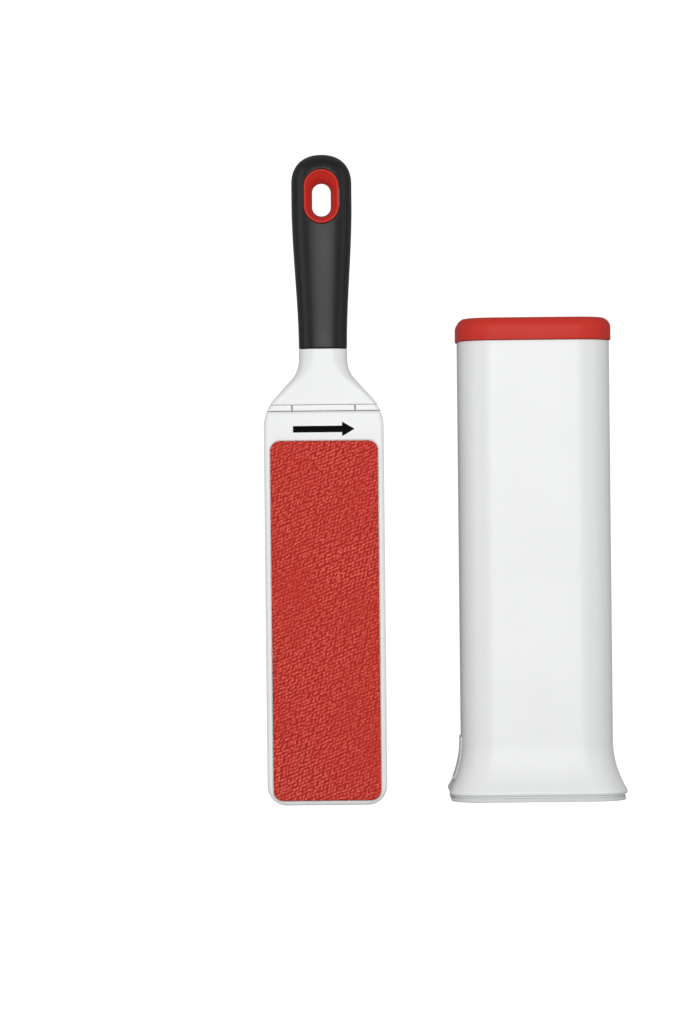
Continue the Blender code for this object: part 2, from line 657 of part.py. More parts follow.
def make_detent_spring(mats, parent):
    """Leaf spring with a folded bump under each arm. The bumps stop just short of the head."""
    low = NECK_LOW + FIT_GAP
    bm = bmesh.new()
    add_prism(bm, leaf_outline(), "Z", low, low + LEAF_THICKNESS)
    leaf = finish(bm, "detent_spring", mats["steel"], parent)
    cut = bmesh.new()
    eye = SHAFT_RADIUS + 2 * FIT_GAP
    add_cylinder(cut, eye, "Z", (0, 0), low - CUT_MARGIN, low + CUT_MARGIN, 20)
    combine(leaf, cut, "DIFFERENCE", "eye")
    for side in (-1, 1):
        half = DETENT_BUMP_WIDTH / 2
        x, tip = side * DETENT_OFFSET, PLATE_LOW + FIT_GAP
        bump = [
            (x - half, low + LEAF_THICKNESS / 2),
            (x - half, tip + half),
            (x - half * 0.5, tip),
            (x + half * 0.5, tip),
            (x + half, tip + half),
            (x + half, low + LEAF_THICKNESS / 2),
        ]
        add = bmesh.new()
        add_prism(add, bump, "Y", -DETENT_BUMP_DEPTH / 2, DETENT_BUMP_DEPTH / 2)
        combine(leaf, add, "UNION", f"bump_{(side + 3) // 2}")


# ---------------------------------------------------------------- swivelling head


def make_swivel_shaft(mats, parent):
    """Round shaft with a T-bar foot. Its groove runs round all but the stop, which limits the turn."""
    groove = (GROOVE_MIDDLE - GROOVE_WIDTH / 2, GROOVE_MIDDLE + GROOVE_WIDTH / 2)
    profile = [
        (SHAFT_RADIUS, T_BAR_TOP - 1 * MM),
        (SHAFT_RADIUS, groove[0]),
        (GROOVE_RADIUS, groove[0]),
        (GROOVE_RADIUS, groove[1]),
        (SHAFT_RADIUS, groove[1]),
        (SHAFT_RADIUS, SHAFT_TOP - 0.8 * MM),
        (SHAFT_RADIUS - 0.8 * MM, SHAFT_TOP),
    ]
    bm = bmesh.new()
    add_lathe(bm, profile, 24)
    shaft = finish(bm, "swivel_shaft", mats["steel"], parent)
    add = bmesh.new()
    half = (T_BAR_LENGTH / 2, T_BAR_THICKNESS / 2)
    add_box(add, (-half[0], -half[1], T_BAR_TOP - T_BAR_HEIGHT), (*half, T_BAR_TOP))
    combine(shaft, add, "UNION", "t_bar")
    add = bmesh.new()
    stop = []
    for radius, ends in ((SHAFT_RADIUS - 0.1 * MM, (-1, 1)), (GROOVE_RADIUS - 0.4 * MM, (1, -1))):
        for i in range(5):
            share = ends[0] + (ends[1] - ends[0]) * i / 4
            angle = math.pi / 2 + STOP_ARC / 2 * share
            stop.append((radius * math.cos(angle), radius * math.sin(angle)))
    add_prism(add, stop, "Z", groove[0] - 0.4 * MM, groove[1] + 0.4 * MM)
    combine(shaft, add, "UNION", "stop")


def make_head_shell(mats, parent, side, name):
    """Half of the head: a tray with screw bosses and half of the shaft's socket. Side -1 is the front."""
    outline = head_outline()
    split = side * FIT_GAP / 2
    face = side * HEAD_THICKNESS / 2
    floor_inside = side * FLOOR_INSIDE
    hollow = inset_outline(outline, HEAD_WALL)
    rings = [
        lift(hollow, "Y", floor_inside),
        lift(hollow, "Y", split),
        lift(outline, "Y", split),
    ]
    for step in range(5):
        angle = math.pi / 2 * step / 4
        inset = HEAD_EDGE_RADIUS * (1 - math.cos(angle))
        reach = face - side * HEAD_EDGE_RADIUS * (1 - math.sin(angle))
        rings.append(lift(inset_outline(outline, inset), "Y", reach))
    bm = bmesh.new()
    loft(bm, rings)
    shell = finish(bm, name, mats["white_abs"], parent)

    add = bmesh.new()
    inner = sorted((floor_inside + side * 0.6 * MM, split))
    half = SOCKET_WIDTH / 2
    top = HEAD_LENGTH - HEAD_WALL / 2
    add_box(add, (-half, inner[0], HEAD_LENGTH - SOCKET_HEIGHT), (half, inner[1], top))
    for x, z in screw_places():
        add_cylinder(add, BOSS_RADIUS, "Y", (x, z), inner[0], inner[1], 14)
    combine(shell, add, "UNION", "bosses")

    cut = bmesh.new()
    recess_half = (PAD_WIDTH / 2 + FIT_GAP, PAD_HEIGHT / 2 + FIT_GAP)
    recess = [(x, PAD_CENTRE + z) for x, z in rounded_rect(*recess_half, PAD_RADIUS + FIT_GAP)]
    spans = sorted((face - side * PAD_RECESS, face + side * CUT_MARGIN))
    add_prism(cut, recess, "Y", *spans)
    combine(shell, cut, "DIFFERENCE", "pad_recess")

    cut = bmesh.new()
    add_cylinder(
        cut,
        SHAFT_RADIUS + FIT_GAP,
        "Z",
        (0, 0),
        T_BAR_TOP - 1 * MM,
        HEAD_LENGTH + CUT_MARGIN,
        24,
    )
    combine(shell, cut, "DIFFERENCE", "shaft_seat")
    cut = bmesh.new()
    half = (T_BAR_LENGTH / 2 + FIT_GAP, T_BAR_THICKNESS / 2 + FIT_GAP)
    low, high = T_BAR_TOP - T_BAR_HEIGHT - FIT_GAP, T_BAR_TOP + FIT_GAP
    add_box(cut, (-half[0], -half[1], low), (*half, high))
    combine(shell, cut, "DIFFERENCE", "t_bar_seat")

    cut = bmesh.new()
    for x in (-DETENT_OFFSET, DETENT_OFFSET):
        add_box(
            cut,
            (x - 1.3 * MM, -2.8 * MM, HEAD_LENGTH - 0.8 * MM),
            (x + 1.3 * MM, 2.8 * MM, HEAD_LENGTH + CUT_MARGIN),
        )
    combine(shell, cut, "DIFFERENCE", "detent_notches")

    cut = bmesh.new()
    seat = HEAD_THICKNESS / 2 - PAD_RECESS
    for x, z in screw_places():
        if side < 0:
            radius = SCREW_HEAD_RADIUS + FIT_GAP
            deep = seat - SCREW_HEAD_HEIGHT - FIT_GAP
            add_cylinder(cut, radius, "Y", (x, z), -seat - CUT_MARGIN, -deep, 14)
        else:
            tip = SCREW_LENGTH - SCREW_SEAT + FIT_GAP
            add_cylinder(cut, SCREW_RADIUS + FIT_GAP, "Y", (x, z), -1 * MM, tip, 14)
    combine(shell, cut, "DIFFERENCE", "screw_seats")
    if side < 0:
        cut = bmesh.new()
        for x, z in screw_places():
            add_cylinder(cut, SCREW_RADIUS + FIT_GAP, "Y", (x, z), -seat, 1 * MM, 14)
        combine(shell, cut, "DIFFERENCE", "screw_clearance")


def screw_places():
    return [(side * SCREW_COLUMN, height) for height in SCREW_HEIGHTS for side in (-1, 1)]


def make_head_screws(mats, parent):
    """Six pan-head screws under the front pad, driven into the rear shell's bosses."""
    for number, (x, z) in enumerate(screw_places(), 1):
        head_low = SCREW_LENGTH - SCREW_HEAD_HEIGHT
        profile = [
            (0.6 * MM, SCREW_LENGTH - 0.9 * MM),
            (1.1 * MM, SCREW_LENGTH),
            (SCREW_HEAD_RADIUS - 0.4 * MM, SCREW_LENGTH),
            (SCREW_HEAD_RADIUS, SCREW_LENGTH - 0.5 * MM),
            (SCREW_HEAD_RADIUS, head_low),
            (SCREW_RADIUS, head_low),
            (SCREW_RADIUS, 1 * MM),
            (0.5 * MM, 0),
        ]
        bm = bmesh.new()
        add_lathe(bm, profile, 12)
        # The screw points to the rear, with its head at the front.
        turn = Matrix.Rotation(math.pi / 2, 4, "X")
        place = Matrix.Translation((x, SCREW_LENGTH - SCREW_SEAT, z)) @ turn
        bmesh.ops.transform(bm, matrix=place, verts=bm.verts)
        finish(bm, f"head_screw_{number}", mats["steel"], parent)


def make_pad(mats, parent, side, name):
    """Backing plate and piled fabric in the head's recess. Side -1 is the front."""
    bottom = HEAD_THICKNESS / 2 - PAD_RECESS + GLUE_LINE
    outline = [
        (x, PAD_CENTRE + z) for x, z in rounded_rect(PAD_WIDTH / 2, PAD_HEIGHT / 2, PAD_RADIUS)
    ]
    bm = bmesh.new()
    spans = sorted((side * bottom, side * (bottom + BACKING_THICKNESS)))
    add_prism(bm, outline, "Y", *spans)
    finish(bm, f"{name}_backing", mats["white_backing"], parent)

    pile_low = HEAD_THICKNESS / 2 + GLUE_LINE
    rings = [lift(outline, "Y", side * pile_low)]
    for step in range(4):
        angle = math.pi / 2 * step / 3
        inset = PILE_EDGE * (1 - math.cos(angle))
        reach = PAD_FACE - PILE_EDGE * (1 - math.sin(angle))
        rings.append(lift(inset_outline(outline, inset), "Y", side * reach))
    bm = bmesh.new()
    loft(bm, rings)
    finish(bm, name, mats["red_fabric"], parent)


# ---------------------------------------------------------------- holder


def flare(height):
    """How far the holder's wall stands out from the tube at a height: an arc above the rim."""
    down = min(max(FLARE_TOP - height, 0.0), FLARE_TOP - RIM_TOP)
    return FLARE_ARC - math.sqrt(FLARE_ARC**2 - down**2)


def tube_section(out, inset=0.0):
    """The holder's outline where its wall stands out by a given amount."""
    radius = TUBE_CORNER - CORNER_TIGHTENS * out - inset
    return rounded_rect(TUBE_WIDTH / 2 + out - inset, TUBE_DEPTH / 2 + out - inset, radius)


def make_base_shell(mats, parent):
    """Open tube with a flared foot, the lever's window and ears, and ribs that carry brush and wipers."""
    low = FOOT_HEIGHT + FIT_GAP
    heights = [TUBE_TOP, *(FLARE_TOP + (RIM_TOP - FLARE_TOP) * i / 7 for i in range(8))]
    outer = [(h, flare(h)) for h in heights]
    rim_centre = RIM_TOP - RIM_RADIUS * math.sin(FLARE_LEAN)
    for angle in (FLARE_LEAN / 2, 0, -FLARE_LEAN, -FLARE_LEAN * 2):
        height = rim_centre + RIM_RADIUS * math.sin(angle)
        outer.append((height, RIM_OUT - RIM_RADIUS * (1 - math.cos(angle))))
    outer.append((low, outer[-1][1] - 0.4 * MM))
    rings = [lift(tube_section(out), "Z", h) for h, out in outer]
    inner = [(low, FLARE_OUT - 1 * MM)] + [(h, flare(h)) for h in reversed(heights)]
    rings += [lift(tube_section(out, TUBE_WALL), "Z", h) for h, out in inner]
    bm = bmesh.new()
    loft(bm, rings, ring_shaped=True)
    shell = finish(bm, "base_shell", mats["white_abs"], parent)

    add = bmesh.new()
    wall_y = TUBE_DEPTH / 2 - TUBE_WALL
    wall_x = TUBE_WIDTH / 2 - TUBE_WALL
    into_wall = TUBE_WALL / 2
    for sx in (-1, 1):
        for sy in (-1, 1):
            x = sx * DOCK_RIB_OFFSET
            low_z, high_z = DOCK_HEIGHT - DOCK_RIB_HEIGHT, DOCK_HEIGHT
            rib = [
                (sy * DOCK_RIB_GAP, low_z),
                (sy * (wall_y + flare(low_z) + into_wall), low_z),
                (sy * (wall_y + flare(high_z) + into_wall), high_z),
                (sy * DOCK_RIB_GAP, high_z),
            ]
            add_prism(add, rib, "X", x - RIB_THICKNESS / 2, x + RIB_THICKNESS / 2)
            y = sy * (TUBE_DEPTH / 2 - TUBE_CORNER - 1.5 * MM)
            ends = sorted((sx * (wall_x - 2.4 * MM), sx * (wall_x + into_wall)))
            low_corner = (ends[0], y - RIB_THICKNESS / 2, FRAME_LOW - 12 * MM)
            add_box(add, low_corner, (ends[1], y + RIB_THICKNESS / 2, FRAME_LOW - FIT_GAP))
    ear_y = LEVER_WIDTH / 2 + WINDOW_SIDE_GAP + FIT_GAP
    for side in (-1, 1):
        spans = sorted((side * ear_y, side * (ear_y + EAR_THICKNESS)))
        add_box(
            add,
            (-wall_x - into_wall, spans[0], PIVOT_HEIGHT - EAR_HEIGHT / 2),
            (PIVOT_X + BARREL_RADIUS, spans[1], PIVOT_HEIGHT + EAR_HEIGHT / 2),
        )
    combine(shell, add, "UNION", "ribs_and_ears")

    cut = bmesh.new()
    half = LEVER_WIDTH / 2 + WINDOW_SIDE_GAP
    add_box(
        cut,
        (-HOLDER_HALF_X - CUT_MARGIN, -half, LEVER_BOTTOM - WINDOW_BELOW),
        (-wall_x + 0.2 * MM, half, LEVER_TOP + WINDOW_SIDE_GAP),
    )
    combine(shell, cut, "DIFFERENCE", "lever_window")
    cut = bmesh.new()
    reach = ear_y + EAR_THICKNESS + CUT_MARGIN
    hole = LEVER_PIN_RADIUS + FIT_GAP
    add_cylinder(cut, hole, "Y", (PIVOT_X, PIVOT_HEIGHT), -reach, reach, 12)
    combine(shell, cut, "DIFFERENCE", "pin_holes")


def make_collar(mats, parent):
    """Red rim cap: a rounded outside, a lead-in to the mouth, a skirt and a lip that locates in the tube."""
    half_x, half_y = TUBE_WIDTH / 2 + COLLAR_PROUD, TUBE_DEPTH / 2 + COLLAR_PROUD
    low, top = HOLDER_HEIGHT - COLLAR_HEIGHT, HOLDER_HEIGHT

    def outer(inset, height):
        outline = rounded_rect(half_x - inset, half_y - inset, TUBE_CORNER + COLLAR_PROUD - inset)
        return lift(outline, "Z", height)

    def mouth(grow, height):
        outline = rounded_rect(MOUTH_X + grow, MOUTH_Y + grow, MOUTH_CORNER + grow)
        return lift(outline, "Z", height)

    rings = [outer(0, low), outer(0, top - COLLAR_EDGE)]
    for step in range(1, 5):
        angle = math.pi / 2 * step / 4
        rings.append(
            outer(
                COLLAR_EDGE * (1 - math.cos(angle)),
                top - COLLAR_EDGE * (1 - math.sin(angle)),
            )
        )
    for step in range(4):
        angle = math.pi / 2 * step / 3
        rings.append(
            mouth(
                MOUTH_LEAD * (1 - math.sin(angle)),
                top - MOUTH_LEAD * (1 - math.cos(angle)),
            )
        )
    rings += [
        mouth(0, SKIRT_LOW),
        mouth(COLLAR_WALL, SKIRT_LOW),
        mouth(COLLAR_WALL, top - COLLAR_TOP_THICKNESS - 1 * MM),
    ]
    lip_out = TUBE_WALL + COLLAR_PROUD + FIT_GAP
    lip_in = lip_out + COLLAR_WALL
    rings += [
        outer(lip_in + 1 * MM, top - COLLAR_TOP_THICKNESS - 1 * MM),
        outer(lip_in, low + 2 * MM),
        outer(lip_in, low - LOCATING_LIP),
        outer(lip_out, low - LOCATING_LIP),
        outer(lip_out, low),
    ]
    bm = bmesh.new()
    loft(bm, rings, ring_shaped=True)
    finish(bm, "collar", mats["red_plastic"], parent)


def frame_half_width(y, inset):
    """The cassette frame's half width at a distance from its middle plane, and at a depth in its wall."""
    corner = TUBE_CORNER - TUBE_WALL - inset
    into_corner = max(0.0, abs(y) - (FRAME_Y - inset - corner))
    return FRAME_X - inset - corner + math.sqrt(corner**2 - into_corner**2)


def make_wiper_frame(mats, parent):
    """Cassette under the collar: guides that hold the two carriers, shelves under them, spring posts."""

    def ring(inset, height):
        corner = TUBE_CORNER - TUBE_WALL - inset
        return lift(rounded_rect(FRAME_X - inset, FRAME_Y - inset, corner), "Z", height)

    bm = bmesh.new()
    loft(
        bm,
        [
            ring(0, FRAME_LOW),
            ring(0, FRAME_TOP),
            ring(FRAME_WALL, FRAME_TOP),
            ring(FRAME_WALL, FRAME_LOW),
        ],
        ring_shaped=True,
    )
    frame = finish(bm, "wiper_frame", mats["white_abs"], parent)
    add = bmesh.new()
    side_wall = FRAME_X - FRAME_WALL / 2
    for sy in (-1, 1):
        for sx in (-1, 1):
            xs = sorted((sx * GUIDE_X, sx * side_wall))
            guide_out = CARRIER_FACE - FIT_GAP
            ys = sorted((sy * guide_out, sy * (guide_out - GUIDE_THICKNESS)))
            add_box(add, (xs[0], ys[0], FRAME_LOW), (xs[1], ys[1], FRAME_TOP))
            root, tip = FRAME_Y - FRAME_WALL / 2, FRAME_Y - FRAME_WALL - SPRING_POST_LENGTH
            posts = sorted((sy * root, sy * tip))
            centre = (sx * WIPER_SPRING_OFFSET, (CARRIER_LOW + CARRIER_TOP) / 2)
            add_cylinder(add, SPRING_POST_RADIUS, "Y", centre, *posts, segments=10)
        ys = sorted((sy * (CARRIER_FACE + 2.2 * MM), sy * (CARRIER_BACK + 3 * MM)))
        near, far = (frame_half_width(y, FRAME_WALL / 2) for y in ys)
        shelf = [(-near, ys[0]), (near, ys[0]), (far, ys[1]), (-far, ys[1])]
        add_prism(add, shelf, "Z", FRAME_LOW, FRAME_LOW + SHELF_THICKNESS)
    combine(frame, add, "UNION", "guides")


def wiper_path(reach=1.0):
    """(distance from the middle plane, height) down a carrier's face, with a lead-in at each end."""
    out, run = CARRIER_LEAD_OUT * reach, CARRIER_LEAD_RUN * reach
    low, high = CARRIER_LOW + CARRIER_LEAD_RUN, CARRIER_TOP - CARRIER_LEAD_RUN
    return [
        (CARRIER_FACE + out, high + run),
        (CARRIER_FACE, high),
        (CARRIER_FACE, low),
        (CARRIER_FACE + out, low - run),
    ]


def layer(path, near, far):
    """A strip that follows a bent path on its inner side, between two offsets from it."""

    def shifted(distance):
        lean = math.atan2(CARRIER_LEAD_OUT, CARRIER_LEAD_RUN)
        end = (-distance * math.cos(lean), distance * math.sin(lean))
        bend = distance * math.tan(lean / 2)
        (top, first, last, bottom) = path
        return [
            (top[0] + end[0], top[1] + end[1]),
            (first[0] - distance, first[1] + bend),
            (last[0] - distance, last[1] - bend),
            (bottom[0] + end[0], bottom[1] - end[1]),
        ]

    return shifted(near) + shifted(far)[::-1]


def make_wiper(mats, parent, side, name):
    """One sprung wiper: a carrier, and the piled strip on its face. Side -1 is the front."""
    # Pushed right out, the carrier still clears the frame's rounded corners.
    farthest = CARRIER_BACK + WIPER_TRAVEL + FIT_GAP
    half_x = frame_half_width(farthest, FRAME_WALL) - 2 * FIT_GAP
    back = [(CARRIER_BACK, CARRIER_LOW), (CARRIER_BACK, CARRIER_TOP)]
    bm = bmesh.new()
    outline = [(side * y, z) for y, z in wiper_path() + back]
    add_prism(bm, outline, "X", -half_x, half_x)
    finish(bm, f"{name}_carrier", mats["white_abs"], parent)

    bm = bmesh.new()
    strip = layer(wiper_path(0.65), GLUE_LINE, GLUE_LINE + WIPER_PILE)
    half_x = GUIDE_X - 2 * FIT_GAP
    add_prism(bm, [(side * y, z) for y, z in strip], "X", -half_x, half_x)
    finish(bm, f"{name}_fabric", mats["wiper_fabric"], parent)

    ends = (
        side * (CARRIER_BACK + FIT_GAP + WIPER_SPRING_WIRE),
        side * (FRAME_Y - FRAME_WALL - FIT_GAP - WIPER_SPRING_WIRE),
    )
    for sx, hand in ((-1, "left"), (1, "right")):
        centre = (sx * WIPER_SPRING_OFFSET, (CARRIER_LOW + CARRIER_TOP) / 2)
        points = helix(centre, WIPER_SPRING_RADIUS, *ends, WIPER_SPRING_TURNS, "Y")
        wire(f"{name}_spring_{hand}", points, WIPER_SPRING_WIRE, mats["steel"], parent)


def make_foot_ring(mats, parent):
    """Grey ring that the holder stands on, with an upstand inside the shell and lugs for the hinge pin."""

    def outer(inset, height):
        return lift(tube_section(FLARE_OUT - FOOT_INSET - inset), "Z", height)

    def inner(grow, height):
        outline = rounded_rect(OPENING_X + grow, OPENING_Y + grow, OPENING_CORNER + grow)
        return lift(outline, "Z", height)

    upstand_top = FOOT_HEIGHT + FOOT_UPSTAND
    bm = bmesh.new()
    loft(
        bm,
        [
            outer(0.5 * MM, 0),
            outer(0, 0.5 * MM),
            outer(0, FOOT_HEIGHT),
            inner(UPSTAND_WALL, FOOT_HEIGHT),
            inner(UPSTAND_WALL, upstand_top),
            inner(0, upstand_top),
            inner(0, 0),
        ],
        ring_shaped=True,
    )
    ring = finish(bm, "foot_ring", mats["grey_plastic"], parent)
    lug_y = HINGE_TONGUE + 0.4 * MM
    for side, tag in ((-1, "front_lug"), (1, "rear_lug")):
        add = bmesh.new()
        spans = sorted((side * lug_y, side * (OPENING_Y + UPSTAND_WALL / 2)))
        left = OPENING_X - LUG_REACH
        outline = [
            (spans[0], 0),
            (spans[1], 0),
            (spans[1], FOOT_HEIGHT),
            (spans[0], FOOT_HEIGHT),
        ]
        stand = sorted((side * lug_y, side * (lug_y + LUG_WIDTH)))
        if side < 0:
            outline = [(spans[0], 0), (spans[1], 0), (stand[1], LUG_HEIGHT)]
            outline += [(stand[0], LUG_HEIGHT), (stand[0], FOOT_HEIGHT), (spans[0], FOOT_HEIGHT)]
        else:
            outline = [(spans[0], 0), (spans[1], 0), (spans[1], FOOT_HEIGHT)]
            outline += [(stand[1], FOOT_HEIGHT), (stand[1], LUG_HEIGHT), (stand[0], LUG_HEIGHT)]
        add_prism(add, outline, "X", left, OPENING_X + UPSTAND_WALL / 2)
        combine(ring, add, "UNION", tag)
    cut = bmesh.new()
    reach = lug_y + LUG_WIDTH
    hole = HINGE_PIN_RADIUS + FIT_GAP
    add_cylinder(cut, hole, "Y", (HINGE_X, HINGE_HEIGHT), -reach, reach, 12)
    combine(ring, cut, "DIFFERENCE", "pin_holes")


def make_trap_door(mats, parent):
    """Drop-down door: a plate with a low rim, two hinge knuckles and the catch for the lever's hook."""
    low, high = DOOR_RISE, DOOR_RISE + DOOR_THICKNESS
    right = OPENING_X - LUG_REACH - DOOR_SWING_ROOM
    middle_x, half_x = (right - DOOR_X) / 2, (right + DOOR_X) / 2
    corner = OPENING_CORNER - DOOR_GAP

    def plate(inset, height):
        outline = rounded_rect(half_x - inset, DOOR_Y - inset, corner - inset)
        return lift([(middle_x + x, y) for x, y in outline], "Z", height)

    inside = DOOR_RIM_INSET + DOOR_RIM_WALL
    bm = bmesh.new()
    loft(
        bm,
        [
            plate(0, low),
            plate(0, high),
            plate(DOOR_RIM_INSET, high),
            plate(DOOR_RIM_INSET, high + DOOR_RIM_HEIGHT),
            plate(inside, high + DOOR_RIM_HEIGHT),
            plate(inside, high),
        ],
    )
    axis = (HINGE_X, 0, HINGE_HEIGHT)
    door = finish(bm, "trap_door", mats["grey_plastic"], parent, axis)
    add = bmesh.new()
    overlap = 3 * MM
    add_box(add, (right - overlap, -HINGE_TONGUE, low), (HINGE_X + 0.8 * MM, HINGE_TONGUE, high))
    combine(door, add, "UNION", "tongue")
    add = bmesh.new()
    for side in (-1, 1):
        spans = sorted((side * KNUCKLE_INNER, side * HINGE_TONGUE))
        add_cylinder(add, KNUCKLE_RADIUS, "Y", (HINGE_X, HINGE_HEIGHT), *spans, segments=16)
    combine(door, add, "UNION", "knuckles")
    add = bmesh.new()
    stem = CATCH_X + CATCH_STEM
    outline = [
        (CATCH_X, high - DOOR_THICKNESS / 2),
        (stem, high - DOOR_THICKNESS / 2),
        (stem, CATCH_TOP - NOSE_HEIGHT),
        (stem + CATCH_NOSE, CATCH_TOP - NOSE_HEIGHT),
        (stem, CATCH_TOP),
        (CATCH_X, CATCH_TOP),
    ]
    add_prism(add, outline, "Y", -CATCH_WIDTH / 2, CATCH_WIDTH / 2)
    combine(door, add, "UNION", "catch")
    cut = bmesh.new()
    reach = HINGE_TONGUE + CUT_MARGIN
    hole = HINGE_PIN_RADIUS + FIT_GAP
    add_cylinder(cut, hole, "Y", (HINGE_X, HINGE_HEIGHT), -reach, reach, 12)
    combine(door, cut, "DIFFERENCE", "pin_hole")


def make_door_pin(mats, parent):
    bm = bmesh.new()
    reach = HINGE_TONGUE + LUG_WIDTH - 0.2 * MM
    add_cylinder(bm, HINGE_PIN_RADIUS, "Y", (HINGE_X, HINGE_HEIGHT), -reach, reach, 12)
    finish(bm, "door_pin", mats["steel"], parent)


def make_release_lever(mats, parent):
    """Thumb lever that follows the flare, pivoted at its top, with an arm and hook inside."""
    count = 7
    heights = [LEVER_TOP + (LEVER_BOTTOM - LEVER_TOP) * i / count for i in range(count + 1)]
    face = [(-(TUBE_WIDTH / 2 + flare(h) + LEVER_PROUD), h) for h in heights]
    back = [(x + LEVER_THICKNESS, h) for x, h in reversed(face)]
    bm = bmesh.new()
    add_prism(bm, face + back, "Y", -LEVER_WIDTH / 2, LEVER_WIDTH / 2)
    axis = (PIVOT_X, 0, PIVOT_HEIGHT)
    lever = finish(bm, "release_lever", mats["white_abs"], parent, axis)

    add = bmesh.new()
    leg_right = HOOK_X + CATCH_NOSE + HOOK_LEG
    arm = [
        (back[0][0] - 1 * MM, LEVER_BOTTOM),
        (leg_right - HOOK_LEG, LEVER_BOTTOM),
        (leg_right - HOOK_LEG, HOOK_TOP),
        (HOOK_X, HOOK_TOP),
        (leg_right - HOOK_LEG, HOOK_BOTTOM),
        (leg_right, HOOK_BOTTOM),
        (leg_right, LEVER_BOTTOM + ARM_HEIGHT),
        (back[0][0] - 1 * MM, LEVER_BOTTOM + ARM_HEIGHT),
    ]
    add_prism(add, arm, "Y", -ARM_WIDTH / 2, ARM_WIDTH / 2)
    combine(lever, add, "UNION", "arm")
    web_left = -(TUBE_WIDTH / 2 + LEVER_PROUD) + LEVER_THICKNESS / 2
    for side, tag in ((-1, "front"), (1, "rear")):
        spans = sorted((side * COIL_ROOM, side * LEVER_WIDTH / 2))
        add = bmesh.new()
        add_cylinder(add, BARREL_RADIUS, "Y", (PIVOT_X, PIVOT_HEIGHT), *spans, segments=16)
        combine(lever, add, "UNION", f"{tag}_barrel")
        add = bmesh.new()
        half = BARREL_RADIUS * 0.8
        inner = sorted((side * (COIL_ROOM + 0.1 * MM), side * (LEVER_WIDTH / 2 - 0.1 * MM)))
        add_box(
            add,
            (web_left, inner[0], PIVOT_HEIGHT - half),
            (PIVOT_X - 0.3 * MM, inner[1], PIVOT_HEIGHT + half),
        )
        combine(lever, add, "UNION", f"{tag}_web")
    cut = bmesh.new()
    hole = LEVER_PIN_RADIUS + FIT_GAP
    reach = LEVER_WIDTH / 2 + CUT_MARGIN
    add_cylinder(cut, hole, "Y", (PIVOT_X, PIVOT_HEIGHT), -reach, reach, 12)
    combine(lever, cut, "DIFFERENCE", "pin_hole")


def make_lever_pin(mats, parent):
    bm = bmesh.new()
    reach = LEVER_WIDTH / 2 + WINDOW_SIDE_GAP + FIT_GAP + EAR_THICKNESS - 0.2 * MM
    add_cylinder(bm, LEVER_PIN_RADIUS, "Y", (PIVOT_X, PIVOT_HEIGHT), -reach, reach, 12)
    finish(bm, "lever_pin", mats["steel"], parent)


def make_lever_spring(mats, parent):
    """Torsion spring round the lever's pin. One leg bears on the shell, the other on the lever."""
    half = 2 * MM
    coil = helix(
        (PIVOT_X, PIVOT_HEIGHT),
        LEVER_SPRING_RADIUS,
        half,
        -half,
        LEVER_SPRING_TURNS,
        "Y",
        begin_angle=math.pi,
    )
    side_x = PIVOT_X - LEVER_SPRING_RADIUS
    upper = (side_x + 0.15 * MM, half, PIVOT_HEIGHT + LEVER_SPRING_LEG)
    foot = PIVOT_HEIGHT - LEVER_SPRING_LEG
    lever_back = -(TUBE_WIDTH / 2 + flare(foot) + LEVER_PROUD) + LEVER_THICKNESS
    lower = (lever_back + FIT_GAP + LEVER_SPRING_WIRE, -half, foot)
    wire("lever_spring", [upper, *coil, lower], LEVER_SPRING_WIRE, mats["steel"], parent)


# ---------------------------------------------------------------- the set


def make_materials():
    return {
        "white_abs": material("white_abs", "#ECEEED", 0.38),
        "white_acetal": material("white_acetal", "#F4F5F4", 0.3),
        "white_backing": material("white_backing", "#E2E2DE", 0.6),
        "red_plastic": material("red_plastic", "#C8352B", 0.42),
        "black_tpe": material("black_tpe", "#26272A", 0.62),
        "red_fabric": material("red_fabric", "#C8372B", 0.95),
        "wiper_fabric": material("wiper_fabric", "#B5332A", 0.95),
        "grey_plastic": material("grey_plastic", "#C9CED1", 0.45),
        "steel": material("steel", "#C4C6C8", 0.3, 1.0),
    }


def make_brush(mats):
    brush = frame_empty("brush_frame", (BRUSH_X, BRUSH_Y, 0))
    make_grip(mats, brush)
    make_liner(mats, brush)
    make_handle_core(mats, brush)
    make_retaining_pin(mats, brush)
    make_wear_plate(mats, brush)
    make_detent_spring(mats, brush)
    # The head turns about the brush's own axis.
    make_swivel_shaft(mats, brush)
    make_head_shell(mats, brush, -1, "head_front_shell")
    make_head_shell(mats, brush, 1, "head_rear_shell")
    make_head_screws(mats, brush)
    make_pad(mats, brush, -1, "front_pad")
    make_pad(mats, brush, 1, "rear_pad")


def make_holder(mats):
    holder = frame_empty("holder_frame", (HOLDER_X, HOLDER_Y, 0))
    make_base_shell(mats, holder)
    make_collar(mats, holder)
    make_wiper_frame(mats, holder)
    make_wiper(mats, holder, -1, "front_wiper")
    make_wiper(mats, holder, 1, "rear_wiper")
    make_foot_ring(mats, holder)
    make_trap_door(mats, holder)
    make_door_pin(mats, holder)
    make_release_lever(mats, holder)
    make_lever_pin(mats, holder)
    make_lever_spring(mats, holder)


def main():
    clear_scene()
    mats = make_materials()
    make_brush(mats)
    make_holder(mats)


main()
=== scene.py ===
import json
import math

import bmesh
import bpy
import numpy as np
from mathutils import Euler, Matrix, Vector


